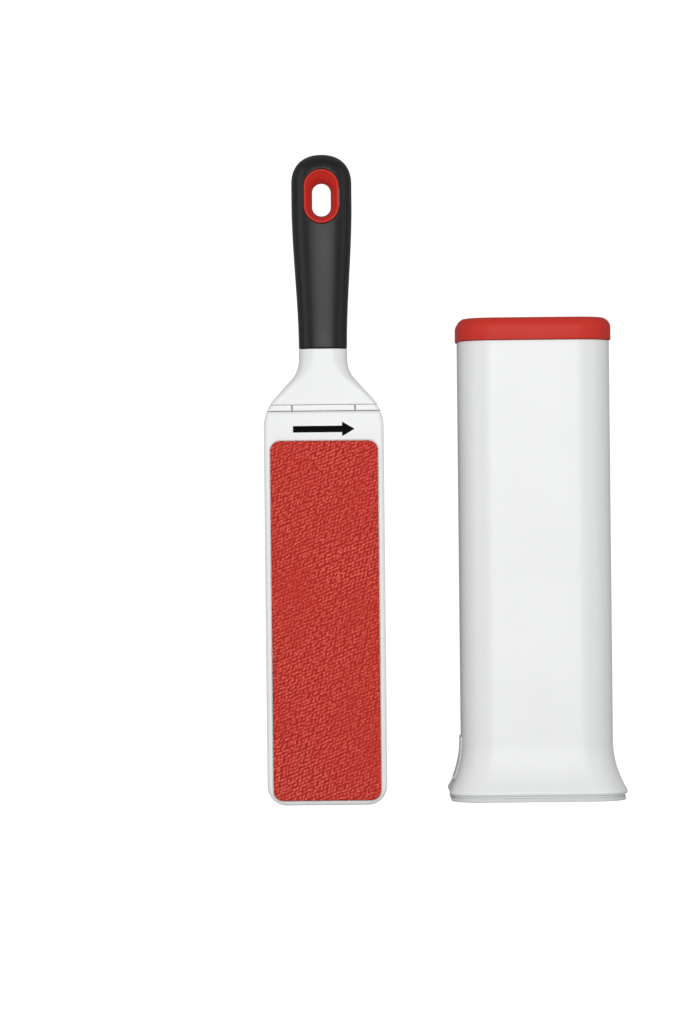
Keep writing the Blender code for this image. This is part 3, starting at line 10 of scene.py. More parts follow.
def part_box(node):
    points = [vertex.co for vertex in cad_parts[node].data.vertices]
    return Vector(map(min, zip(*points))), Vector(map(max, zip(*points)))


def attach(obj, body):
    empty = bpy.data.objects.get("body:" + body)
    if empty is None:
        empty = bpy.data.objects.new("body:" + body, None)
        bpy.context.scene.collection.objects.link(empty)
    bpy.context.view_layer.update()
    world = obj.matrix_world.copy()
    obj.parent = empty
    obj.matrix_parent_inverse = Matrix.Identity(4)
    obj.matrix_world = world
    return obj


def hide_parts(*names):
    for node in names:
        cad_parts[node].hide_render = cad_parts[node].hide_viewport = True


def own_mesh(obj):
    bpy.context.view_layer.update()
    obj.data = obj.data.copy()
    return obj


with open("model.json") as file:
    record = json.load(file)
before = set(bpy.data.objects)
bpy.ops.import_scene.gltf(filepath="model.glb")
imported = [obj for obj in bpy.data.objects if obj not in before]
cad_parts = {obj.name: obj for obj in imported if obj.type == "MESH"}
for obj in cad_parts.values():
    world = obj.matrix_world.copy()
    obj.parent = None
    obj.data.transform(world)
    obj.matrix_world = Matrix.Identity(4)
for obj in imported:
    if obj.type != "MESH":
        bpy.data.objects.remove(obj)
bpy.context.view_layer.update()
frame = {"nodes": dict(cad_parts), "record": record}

mm = 0.001
nodes = frame["nodes"]


def middle(node):
    low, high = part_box(node)
    return (low + high) / 2


def sizeOf(node):
    low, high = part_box(node)
    return (high - low) / mm


def middleFrom(axis, node):
    # a node's middle in mm, from an upright axis and from the table
    spot = middle(node)
    return Vector((spot.x - axis.x, spot.y - axis.y, spot.z)) / mm


brushAxis = middle("grip")  # the brush and the holder each stand on an upright axis
holderAxis = middle("collar")


# Camera

cameraLook = {
    "distance": 2.0,  # from the brush's middle plane
    "height": 0.1485,
    "besideBrush": 0.0083,
    "lens": 138.3,
    "roll": -0.6,
}


def makeCamera():
    data = bpy.data.cameras.new("productCamera")
    data.lens = cameraLook["lens"]
    data.sensor_width = 36.0
    data.clip_start = 0.05
    camera = bpy.data.objects.new("productCamera", data)
    bpy.context.scene.collection.objects.link(camera)
    camera.location = (
        brushAxis.x + cameraLook["besideBrush"],
        brushAxis.y - cameraLook["distance"],
        cameraLook["height"],
    )
    level = Euler((math.radians(90), 0, 0)).to_matrix()
    roll = Matrix.Rotation(math.radians(cameraLook["roll"]), 3, "Z")
    camera.rotation_euler = (level @ roll).to_euler()
    bpy.context.scene.camera = camera


makeCamera()
print("camera placed")


# Materials


def toLinear(hexColour):
    parts = [int(hexColour[i : i + 2], 16) / 255 for i in (1, 3, 5)]
    linear = [p / 12.92 if p <= 0.04045 else ((p + 0.055) / 1.055) ** 2.4 for p in parts]
    return (*linear, 1)


def setInputs(tree, node, inputs):
    # an input that is another node's output is linked, any other value is set
    for name, value in inputs.items():
        if isinstance(value, bpy.types.NodeSocket):
            tree.links.new(value, node.inputs[name])
        else:
            node.inputs[name].default_value = value


def addNode(tree, kind, inputs, **settings):
    node = tree.nodes.new(kind)
    for name, value in settings.items():
        setattr(node, name, value)
    setInputs(tree, node, inputs)
    return node


def newMaterial(name):
    material = bpy.data.materials.new(name)
    material.use_nodes = True
    tree = material.node_tree
    shader = tree.nodes["Principled BSDF"]
    place = addNode(tree, "ShaderNodeTexCoord", {}).outputs["Object"]
    return material, tree, shader, place


def mix(tree, share, first, second):
    node = addNode(tree, "ShaderNodeMix", {0: share, 6: first, 7: second}, data_type="RGBA")
    return node.outputs[2]


def noise(tree, place, scale, detail=2.0):
    inputs = {"Vector": place, "Scale": scale, "Detail": detail}
    return addNode(tree, "ShaderNodeTexNoise", inputs).outputs["Fac"]


def spread(tree, value, start, end, low, high):
    # takes a value between start and end to one between low and high
    names = ("Value", "From Min", "From Max", "To Min", "To Max")
    inputs = dict(zip(names, (value, start, end, low, high)))
    return addNode(tree, "ShaderNodeMapRange", inputs).outputs["Result"]


def relief(tree, height, depth, strength):
    # depth is in mm
    inputs = {"Height": height, "Distance": depth * mm, "Strength": strength}
    return addNode(tree, "ShaderNodeBump", inputs).outputs["Normal"]


def mouldedPlastic(name, look):
    # an injection moulding: even colour, a faint drift of tone and gloss, a fine spark grain
    material, tree, shader, place = newMaterial(name)
    drift = noise(tree, place, 18.0, 3.0)
    tone = mix(tree, drift, toLinear(look["colour"]), toLinear(look["shade"]))
    rough = look["roughness"]
    gloss = spread(tree, drift, 0.3, 0.7, rough - 0.03, rough + 0.04)
    grain = noise(tree, place, 1 / (look["grain"] * mm))
    normal = relief(tree, grain, look["depth"], 0.5)
    inputs = {"Base Color": tone, "Roughness": gloss, "Normal": normal, "IOR": look["ior"]}
    setInputs(tree, shader, inputs)
    return material


# grain is the size of the mould's texture and depth its height, both in mm
absLook = {"grain": 0.5, "depth": 0.012, "ior": 1.53}
plasticLooks = {
    "whiteAbsMoulded": dict(absLook, colour="#F2F4F3", shade="#EEF0EF", roughness=0.38),
    "naturalAcetalMoulded": dict(
        colour="#F4F5F4", shade="#F0F1F0", roughness=0.34, grain=0.6, depth=0.006, ior=1.48
    ),
    # a dull skin that mirrors little, so that its red stays deep
    "redAbsMoulded": dict(absLook, colour="#D4352A", shade="#C92F24", roughness=0.5, ior=1.3),
    "greyAbsMoulded": dict(absLook, colour="#DCDEE0", shade="#D6D9DB", roughness=0.45),
}


def softTpe(name, look):
    # thermoplastic elastomer over a stiff core: dull, a broad soft sheen, a fine etched grain
    material, tree, shader, place = newMaterial(name)
    patches = noise(tree, place, 30.0, 4.0)
    tone = mix(tree, patches, toLinear(look["colour"]), toLinear(look["dust"]))
    rough = look["roughness"]
    handled = spread(tree, patches, 0.25, 0.75, rough - 0.05, rough + 0.05)
    scale = 1 / (look["grain"] * mm)
    cells = addNode(tree, "ShaderNodeTexVoronoi", {"Vector": place, "Scale": scale})
    normal = relief(tree, cells.outputs["Distance"], look["depth"], 0.5)
    inputs = {"Base Color": tone, "Roughness": handled, "Normal": normal, "IOR": look["ior"]}
    sheen = {"Sheen Weight": look["sheen"], "Sheen Roughness": 0.5}
    setInputs(tree, shader, inputs | sheen)
    return material


tpeLook = {
    "colour": "#0F1011",
    "dust": "#151617",
    "roughness": 0.4,
    "grain": 0.35,
    "depth": 0.02,
    "sheen": 0.02,
    "ior": 1.4,
}


def pileFabric(name, look):
    # one-way nylon pile: painted shade in deep red between the rows, a painted highlight in pale
    # red on the lit tips, a velvet sheen
    material, tree, shader, place = newMaterial(name)
    height = addNode(tree, "ShaderNodeAttribute", {}, attribute_name="pileHeight").outputs["Fac"]
    # the ramp paints light by the pile's height: the root colour is painted shade, the tip colour a
    # painted highlight, and the side colour lies between
    ramp = addNode(tree, "ShaderNodeValToRGB", {"Fac": height})
    ramp.color_ramp.interpolation = "EASE"
    stops = ramp.color_ramp.elements
    stops[0].color, stops[1].color = toLinear(look["root"]), toLinear(look["tip"])
    stops[0].position, stops[1].position = 0.08, 0.97
    stops.new(0.52).color = toLinear(look["side"])
    # large patches of painted shade, where the pile's lay turns its sheen away from the light
    lay = noise(tree, place, 38.0, 3.0)
    darker = spread(tree, lay, 0.35, 0.72, 0.0, look["layShadeShare"])
    tone = mix(tree, darker, ramp.outputs["Color"], toLinear(look["layShadeColour"]))
    turned = {"Vector": place, "Rotation": (0, math.radians(25), 0), "Scale": (0.35, 1, 1)}
    stretched = addNode(tree, "ShaderNodeMapping", turned).outputs["Vector"]
    fibres = noise(tree, stretched, 1 / (look["fibre"] * mm))
    normal = relief(tree, fibres, look["depth"], 0.8)
    sheen = {"Sheen Weight": look["sheen"], "Sheen Tint": toLinear(look["tip"])}
    inputs = {"Base Color": tone, "Roughness": 0.85, "Normal": normal, "Sheen Roughness": 0.4}
    setInputs(tree, shader, inputs | sheen)
    return material


# fibre is a bundle of the pile's bristles, drawn coarser than real ones so that it shows
padLook = {
    # root is painted shade down between the tufts, tip a painted highlight on their ends, side a
    # colour between the two
    "root": "#AC1E13",
    "side": "#EA5343",
    "tip": "#F68677",
    # painted shade in large patches for the pile's lay, and its greatest share
    "layShadeColour": "#C52B20",
    "layShadeShare": 0.5,
    "fibre": 0.5,
    "depth": 0.25,
    "sheen": 0.25,
}
# the wiper's root, side and tip colours are painted shade and painted highlight, as on the pad
wiperLook = dict(padLook, root="#94190F", side="#C9362A", tip="#E2705F", sheen=0.15)


def drawnSteel(name, look):
    # bright drawn wire and turned pins: fine lines along the draw, hardly any tarnish
    material, tree, shader, place = newMaterial(name)
    spots = noise(tree, place, 160.0, 4.0)
    tone = mix(tree, spots, toLinear(look["colour"]), toLinear(look["tarnish"]))
    lines = addNode(tree, "ShaderNodeMapping", {"Vector": place, "Scale": (1, 0.15, 1)})
    drawn = noise(tree, lines.outputs["Vector"], 1 / (look["line"] * mm))
    normal = relief(tree, drawn, look["depth"], 0.4)
    inputs = {"Base Color": tone, "Metallic": 1.0, "Roughness": 0.28, "Normal": normal}
    setInputs(tree, shader, inputs)
    return material


steelLook = {"colour": "#C9CBCD", "tarnish": "#B4B5B5", "line": 0.1, "depth": 0.01}


def padPrint(name, look):
    # pad-printed ink: dense black, a little duller than the plastic, faintly mottled
    material, tree, shader, place = newMaterial(name)
    mottle = noise(tree, place, 1 / (look["mottle"] * mm))
    tone = mix(tree, mottle, toLinear(look["colour"]), toLinear(look["thin"]))
    normal = relief(tree, mottle, 0.005, 0.4)
    inputs = {"Base Color": tone, "Roughness": 0.8, "Normal": normal, "Specular IOR Level": 0.06}
    setInputs(tree, shader, inputs)
    return material


inkLook = {"colour": "#050505", "thin": "#0C0C0C", "mottle": 0.5}

whiteAbs, naturalAcetal, redAbs, greyAbs = (
    mouldedPlastic(name, look) for name, look in plasticLooks.items()
)
blackTpe = softTpe("blackTpeOvermoulded", tpeLook)
padVelour = pileFabric("redPileWoven", padLook)
wiperVelour = pileFabric("darkRedPileWoven", wiperLook)
steel = drawnSteel("springSteelDrawn", steelLook)
arrowInk = padPrint("blackInkPadPrinted", inkLook)

finishes = {
    "white_plastic": whiteAbs,
    "acetal": naturalAcetal,
    "backing_plastic": whiteAbs,
    "red_plastic": redAbs,
    "soft_grip": blackTpe,
    "pad_fabric": padVelour,
    "wiper_fabric": wiperVelour,
    "grey_plastic": greyAbs,
    "steel": steel,
}
slotOf = {part["node"]: part["material_slot"] for part in frame["record"]["subparts"]}
for name, node in nodes.items():
    for place in node.material_slots:
        place.material = finishes[slotOf[name]]
print("materials made")


# Shared modelling steps


def roundedOutline(halfX, halfY, radius, corner=12, side=4):
    # anticlockwise from the right-hand side, with extra points along each straight side
    radius = min(radius, halfX, halfY)
    signs = ((1, 1), (-1, 1), (-1, -1), (1, -1))

    def onArc(quarter, angle):
        sx, sy = signs[quarter % 4]
        return (
            sx * (halfX - radius) + radius * math.cos(angle),
            sy * (halfY - radius) + radius * math.sin(angle),
        )

    points = []
    for turn in range(4):
        points += [onArc(turn, math.pi / 2 * (turn + i / corner)) for i in range(corner + 1)]
        ax, ay = points[-1]
        bx, by = onArc(turn + 1, math.pi / 2 * (turn + 1))
        for step in range(1, side + 1):
            share = step / (side + 1)
            points.append((ax + (bx - ax) * share, ay + (by - ay) * share))
    return points


def roundedStack(axis, outlineAt, low, edge, steps, heights):
    # rings from a rounded lower rim up through the heights
    rounding = reversed(quarterRound(edge, steps))
    rings = [upright(axis, outlineAt(low, into), low + up) for into, up in rounding]
    return rings + [upright(axis, outlineAt(height), height) for height in heights]


def quarterRound(radius, steps):
    # how far in and how far down a rounded edge lies, from its side up to its top
    angles = [math.pi / 2 * i / steps for i in range(steps + 1)]
    return [(radius * (1 - math.cos(a)), radius * (1 - math.sin(a))) for a in angles]


def upright(axis, outline, height):
    return [(axis.x + x * mm, axis.y + y * mm, height * mm) for x, y in outline]


def facing(axis, outline, depth):
    return [(axis.x + x * mm, axis.y + depth * mm, z * mm) for x, z in outline]


def inset(outline, distance):
    # moves an anticlockwise outline inwards by the same wall
    moved = []
    for i, point in enumerate(outline):
        here = Vector(point)
        before = (here - Vector(outline[i - 1])).normalized()
        after = (Vector(outline[(i + 1) % len(outline)]) - here).normalized()
        inward = Vector((-before.y - after.y, before.x + after.x)).normalized()
        moved.append(tuple(here + inward * distance / math.sqrt((1 + before.dot(after)) / 2)))
    return moved


def skinRings(name, rings, closed=False):
    # for bodies whose outline changes along their length; an open skin gets a face at each end
    work = bmesh.new()
    loops = [[work.verts.new(p) for p in ring] for ring in rings]
    pairs = list(zip(loops, loops[1:]))
    if closed:
        pairs.append((loops[-1], loops[0]))
    for first, second in pairs:
        for i in range(len(first)):
            work.faces.new((first[i - 1], first[i], second[i], second[i - 1]))
    if not closed:
        work.faces.new(loops[0])
        work.faces.new(loops[-1])
    bmesh.ops.recalc_face_normals(work, faces=work.faces)
    mesh = bpy.data.meshes.new(name)
    work.to_mesh(mesh)
    work.free()
    piece = bpy.data.objects.new(name, mesh)
    bpy.context.scene.collection.objects.link(piece)
    return piece


def workOn(piece):
    bpy.ops.object.select_all(action="DESELECT")
    piece.select_set(True)
    bpy.context.view_layer.objects.active = piece


def block(name, axis, x, y, z):
    # a box by its spans in mm, across from an upright axis and up from the table
    spans = [sorted(ends) for ends in (x, y, z)]
    low, high = (
        Vector((axis.x + ends[0] * mm, axis.y + ends[1] * mm, ends[2] * mm))
        for ends in zip(*spans)
    )
    bpy.ops.object.select_all(action="DESELECT")
    bpy.ops.mesh.primitive_cube_add(size=1, location=(low + high) / 2, scale=high - low)
    bpy.ops.object.transform_apply(location=True, rotation=True, scale=True)
    bpy.context.object.name = name
    return bpy.context.object


def rod(name, axis, radius, along, centre, length, vertices=32):
    # a cylinder along Y or Z about its middle, placed in mm as a block is
    bpy.ops.object.select_all(action="DESELECT")
    bpy.ops.mesh.primitive_cylinder_add(
        vertices=vertices,
        radius=radius * mm,
        depth=length * mm,
        location=(axis.x + centre[0] * mm, axis.y + centre[1] * mm, centre[2] * mm),
        rotation={"Y": (math.pi / 2, 0, 0), "Z": (0, 0, 0)}[along],
    )
    bpy.ops.object.transform_apply(location=True, rotation=True, scale=True)
    bpy.context.object.name = name
    return bpy.context.object


def selectEdges(piece, test):
    # in edit mode: only the edges whose two ends pass the test
    bpy.ops.mesh.select_mode(type="EDGE")
    bpy.ops.mesh.select_all(action="DESELECT")
    work = bmesh.from_edit_mesh(piece.data)
    for edge in work.edges:
        edge.select_set(bool(test(*(end.co for end in edge.verts))))
    bmesh.update_edit_mesh(piece.data)


def bevelEdges(piece, width, segments, test):
    workOn(piece)
    bpy.ops.object.mode_set(mode="EDIT")
    selectEdges(piece, test)
    bpy.ops.mesh.bevel(offset=width, segments=segments, affect="EDGES", profile=0.5)
    bpy.ops.object.mode_set(mode="OBJECT")


def combine(piece, tools, operation):
    # joins the tools to the piece or cuts them from it, and clears them away
    for tool in tools:
        workOn(piece)
        modifier = piece.modifiers.new(operation.lower(), "BOOLEAN")
        modifier.operation = operation
        modifier.solver = "EXACT"
        modifier.object = tool
        bpy.ops.object.modifier_apply(modifier=modifier.name)
        bpy.data.objects.remove(tool, do_unlink=True)


def turnAndSmooth(angle, inside=False):
    # from edit mode back to object mode
    bpy.ops.mesh.select_all(action="SELECT")
    bpy.ops.mesh.normals_make_consistent(inside=inside)
    bpy.ops.object.mode_set(mode="OBJECT")
    bpy.ops.object.shade_smooth_by_angle(angle=math.radians(angle))


def finishPiece(piece, material, body, replaced, angle=35):
    # merged, turned outwards, smoothed, then given its finish and its body
    workOn(piece)
    bpy.ops.object.mode_set(mode="EDIT")
    bpy.ops.mesh.select_all(action="SELECT")
    bpy.ops.mesh.remove_doubles(threshold=0.000004)
    turnAndSmooth(angle)
    piece.data.materials.clear()
    piece.data.materials.append(material)
    for face in piece.data.polygons:
        face.material_index = 0
    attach(piece, body)
    if replaced:
        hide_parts(*replaced)


def ease(share):
    share = min(1.0, max(0.0, share))
    return share * share * (3 - 2 * share)


# Brush outline

brushLook = {
    "headWidth": 60.7,
    "headLength": 199.8,
    "headThickness": 16,
    "endRadius": 10,
    "edgeRadius": 2,
    "neckWidth": 24.5,
    "neckThickness": 18,
    "gripStart": 231.5,
    "slope": 42,
    "shoulderRadius": 22,
    "neckRadius": 15.3,
    "neckStraight": 5.5,  # below the grip
}


def shoulderCurve(steps=14):
    # half width and height from the neck down to the head's full width: arc, slope, arc
    look = brushLook
    slope = math.radians(look["slope"])
    turn, drop = 1 - math.cos(slope), math.sin(slope)
    neckHalf, headHalf = look["neckWidth"] / 2, look["headWidth"] / 2
    upper, lower = look["neckRadius"], look["shoulderRadius"]
    start = look["gripStart"] - look["neckStraight"]
    run = headHalf - lower * turn - (neckHalf + upper * turn)
    base = start - upper * drop - run / math.tan(slope) - lower * drop
    bends = [(1 - math.cos(a), math.sin(a)) for a in [slope * i / steps for i in range(steps + 1)]]
    curve = [(neckHalf + upper * out, start - upper * down) for out, down in bends]
    return curve + [(headHalf - lower * out, base + lower * up) for out, up in reversed(bends)]


shoulder = shoulderCurve()


def halfWidthAt(height):
    if height >= shoulder[0][1]:
        return shoulder[0][0]
    for (wideA, highA), (wideB, highB) in zip(shoulder, shoulder[1:]):
        if highB <= height <= highA:
            return wideA + (wideB - wideA) * (highA - height) / (highA - highB)
    return shoulder[-1][0]


def neckOutline(height, shrink=0.0):
    # a flat bar with rounded edges at the head, an oval under the grip
    look = brushLook
    share = ease((height - look["headLength"]) / (look["gripStart"] - look["headLength"]))
    halfY = (look["headThickness"] + (look["neckThickness"] - look["headThickness"]) * share) / 2
    radius = look["edgeRadius"] + (look["neckThickness"] / 2 - 0.3 - look["edgeRadius"]) * share
    wide = halfWidthAt(height)
    return roundedOutline(wide - shrink, halfY - shrink, max(radius - shrink, 0.3), 12, 6)


# Grip and hang hole

gripLook = {
    "roundness": 2.5,  # 2 is an ellipse, more is squarer
    "width": 30.6,
    "thickness": 21,
    "length": 98.5,
    "end": 330,
    "domeHeight": 15,
    "domePower": 2.3,
    "domePowerY": 3.2,
    "taperTop": 25,
    "lowerEdge": 0.6,  # rounding of its lower rim
    "holeEdge": 0.7,  # rounding round the hang hole
}
holeLook = {
    "width": 17.8,
    "height": 27.4,
    "centre": middle("hang_hole_liner").z / mm,
    "throatWidth": 9.4,
    "throatHeight": 16.6,
    "throatDrop": 1.4,  # the throat sits low in the funnel
    "lip": 0.62,  # radius of the bead round each mouth
    "gap": 0.04,  # the liner is moulded into the grip
}


def gripSize(height):
    look, neck = gripLook, brushLook
    below = look["end"] - look["taperTop"] - height
    taper = ease(below / (look["length"] - look["taperTop"]))
    halfX = (look["width"] + (neck["neckWidth"] - look["width"]) * taper) / 2
    halfY = (look["thickness"] + (neck["neckThickness"] - look["thickness"]) * taper) / 2
    up = min(1.0, max(0.0, (height - look["end"] + look["domeHeight"]) / look["domeHeight"]))
    halfX *= (1 - up ** look["domePower"]) ** (1 / look["domePower"])
    halfY *= (1 - up ** look["domePowerY"]) ** (1 / look["domePowerY"])
    return halfX, halfY


def gripOutline(height, shrink=0.0):
    halfX, halfY = (max(half - shrink, 0.05) for half in gripSize(height))
    power = 2 / gripLook["roundness"]
    outline = []
    for x, y in roundedOutline(halfX, halfY, max(min(halfX, halfY) - 0.3, 0.02), 16, 2):
        angle = math.atan2(y / halfY, x / halfX)
        across, out = math.cos(angle), math.sin(angle)
        x = math.copysign(halfX * abs(across) ** power, across)
        outline.append((x, math.copysign(halfY * abs(out) ** power, out)))
    return outline


def gripSurface(x, height):
    # half of the grip's thickness at a place seen from the front
    halfX, halfY = gripSize(height)
    roundness = gripLook["roundness"]
    share = min(1.0, abs(x) / halfX)
    return halfY * (1 - share**roundness) ** (1 / roundness)


def slotOutline(halfX, halfZ, drop=0.0):
    centre = holeLook["centre"] - drop
    return [(x, centre + z) for x, z in roundedOutline(halfX, halfZ, halfX, 16, 4)]


# taper is how much narrower the tang is at its tip, and pocketTaper its pocket
tangLook = {
    "width": 17.1,
    "depth": 10.6,
    "length": 58.3,
    "corner": 4.0,
    "gap": 0.3,
    "taper": 0.82,
    "pocketTaper": 0.84,
}


def makeGrip():
    look = gripLook
    low = look["end"] - look["length"]
    edge = look["lowerEdge"]
    dome = look["end"] - look["domeHeight"]
    heights = np.linspace(low + edge, dome, 40)[1:].tolist()
    for i in range(1, 25):
        share = 1 - (1 - i / 24) ** 2.4
        heights.append(dome + look["domeHeight"] * min(share, 0.99995))
    rings = roundedStack(brushAxis, gripOutline, low, edge, 4, heights)
    grip = skinRings("gripSkin", rings)

    # the hole's cutter follows the grip's surface, with a rounding at each mouth
    hole = [holeLook[size] / 2 + holeLook["gap"] for size in ("width", "height")]
    rim = look["holeEdge"]
    wide = slotOutline(*(half + rim + 0.2 for half in hole))
    side = [[(x, z, 14.0) for x, z in wide], [(x, z, gripSurface(x, z) + 0.1) for x, z in wide]]
    for offset in [rim * (1 - i / 6) for i in range(7)]:
        outline = slotOutline(*(half + offset for half in hole))
        deep = rim - math.sqrt(max(0.0, rim**2 - (rim - offset) ** 2))
        side.append([(x, z, gripSurface(x, z) - deep) for x, z in outline])
    front, rear = (
        [
            [(brushAxis.x + x * mm, brushAxis.y + face * y * mm, z * mm) for x, z, y in ring]
            for ring in side
        ]
        for face in (-1, 1)
    )
    combine(grip, [skinRings("holeCutter", front + rear[::-1])], "DIFFERENCE")

    tang, gap = tangLook, tangLook["gap"]
    outline = roundedOutline(
        tang["width"] / 2 + gap, tang["depth"] / 2 + gap, tang["corner"] + gap, 6, 0
    )
    small = [(x * tang["pocketTaper"], y * tang["pocketTaper"]) for x, y in outline]
    levels = ((outline, low - 3), (outline, low), (small, low + tang["length"]))
    pocket = skinRings("tangPocket", [upright(brushAxis, *level) for level in levels])
    combine(grip, [pocket], "DIFFERENCE")
    finishPiece(grip, blackTpe, "brush_handle", ["grip"])


def makeHangHoleLiner():
    look = holeLook
    outer = (look["width"] / 2, look["height"] / 2)
    throat = (look["throatWidth"] / 2, look["throatHeight"] / 2)
    lip = look["lip"]
    inner = sizeOf("hang_hole_liner").y / 2 - lip
    mouth = [size - 2 * lip for size in outer]
    bead = []  # across half a turn round one mouth
    for angle in [math.pi * i / 8 for i in range(9)]:
        shrink = lip * (1 - math.cos(angle))
        outline = slotOutline(*(size - shrink for size in outer))
        bead.append((outline, inner + lip * math.sin(angle)))
    rings = [facing(brushAxis, outline, -depth) for outline, depth in bead]
    for i in range(1, 32):
        share = 1 - i / 16
        waist = 1 - abs(share) ** 2.2
        size = [m + (t - m) * waist for m, t in zip(mouth, throat)]
        outline = slotOutline(*size, look["throatDrop"] * waist)
        rings.append(facing(brushAxis, outline, -inner * share))
    rings += [facing(brushAxis, outline, depth) for outline, depth in reversed(bead)]
    liner = skinRings("hangHoleLiner", rings, closed=True)
    finishPiece(liner, redAbs, "brush_handle", ["hang_hole_liner"], 60)


makeGrip()
makeHangHoleLiner()
print("grip made")


# Neck and wear plate

neckLook = {"edge": 0.35, "bore": 4.3, "boreTop": 225, "gripGap": 0.3}
plateLook = {
    "edge": 0.12,
    "close": 0.12,  # taken off the gap above and below it
    "notchWidth": 0.8,
    "notchDepth": 5.0,
    "notchOffset": 16,
    "bumpHalf": 1.3,  # half the width of the slot for a detent bump
}


def makeNeck():
    low, tangTop = (corner.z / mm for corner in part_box("handle_core"))
    top = brushLook["gripStart"] - neckLook["gripGap"]
    edge = neckLook["edge"]
    heights = np.linspace(low + edge, top, 44)[1:].tolist()
    rings = roundedStack(brushAxis, neckOutline, low, edge, 3, heights)
    tang = roundedOutline(tangLook["width"] / 2, tangLook["depth"] / 2, tangLook["corner"], 12, 6)
    taper = tangLook["taper"]
    rings.append(upright(brushAxis, tang, top))
    rings.append(upright(brushAxis, [(x * taper, y * taper) for x, y in tang], tangTop))
    neck = skinRings("neckAndTang", rings)
    boreLow, boreTop = low - 5, neckLook["boreTop"]
    centre = (0, 0, (boreLow + boreTop) / 2)
    bore = rod("shaftBore", brushAxis, neckLook["bore"], "Z", centre, boreTop - boreLow, 48)
    leaf = sizeOf("detent_spring").x / 2 + 0.5
    pocket = block("leafPocket", brushAxis, (-leaf, leaf), (-3.5, 3.5), (low - 5, low + 2.2))
    eye = rod("eyePocket", brushAxis, 7.1, "Z", (0, 0, low - 1.4), 7.2)
    combine(neck, [bore, pocket, eye], "DIFFERENCE")
    finishPiece(neck, whiteAbs, "brush_handle", ["handle_core"])


def makeWearPlate():
    look = plateLook
    low, high = (corner.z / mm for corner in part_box("wear_plate"))
    low, high = low - look["close"], high + look["close"]
    rings = roundedStack(brushAxis, neckOutline, low, look["edge"], 3, [])
    for into, down in quarterRound(look["edge"], 3):
        rings.append(upright(brushAxis, neckOutline(high, into), high - down))
    plate = skinRings("wearPlate", rings)
    tools = [rod("plateBore", brushAxis, neckLook["bore"], "Z", (0, 0, (low + high) / 2), 10, 48)]
    half = max(y for x, y in neckOutline(high, 0))
    wide, through = look["notchWidth"] / 2, (low - 3, high + 3)
    for side in (-1, 1):
        x = side * look["notchOffset"]
        across = (x - look["bumpHalf"], x + look["bumpHalf"])
        tools.append(block("bumpWindow", brushAxis, across, (-2.5, 2.5), through))
        for face in (-1, 1):
            deep = (face * (half - look["notchDepth"]), face * (half + 3))
            tools.append(block("indexNotch", brushAxis, (x - wide, x + wide), deep, through))
    combine(plate, tools, "DIFFERENCE")
    finishPiece(plate, naturalAcetal, "brush_handle", ["wear_plate"])


makeNeck()
makeWearPlate()
print("neck made")


# Head: two half shells

headLook = {
    "wall": 2.2,
    "split": 0.15,  # half of the gap between the halves
    "recess": 1.15,
    "floor": 1.8,
    "recessEdge": 0.35,
    "socketWidth": 28,
    "socketHeight": 34,
    "bossRadius": 3.4,
    "shaftClearance": 4.3,
    "screwSeat": 2.9,
    "screwBore": 1.7,
}
screwPlaces = [middleFrom(brushAxis, f"head_screw_{number}") for number in range(1, 7)]
padSize = {"width": 54.5, "low": 2.4, "high": 184.7, "corner": 5, "gap": 0.3}


def headOutline():
    look = brushLook
    radius, wide, high = look["endRadius"], look["headWidth"] / 2, look["headLength"]
    angles = [math.pi / 2 * (i / 16 - 1) for i in range(17)]
    right = [(wide - radius + radius * math.cos(a), radius * (1 + math.sin(a))) for a in angles]
    straightTop = shoulder[-1][1]
    right += [(wide, radius + (straightTop - radius) * i / 12) for i in range(1, 12)]
    # no points near the corner, where a wall's inset would fold
    right += [point for point in reversed(shoulder) if point[1] < high - 3]
    right.append((halfWidthAt(high), high))
    return right + [(-x, z) for x, z in reversed(right)]


def padOutline(grow):
    halfX = padSize["width"] / 2 + grow
    halfZ = (padSize["high"] - padSize["low"]) / 2 + grow
    centre = (padSize["high"] + padSize["low"]) / 2
    outline = roundedOutline(halfX, halfZ, padSize["corner"] + grow, 12, 6)
    return [(x, centre + z) for x, z in outline]


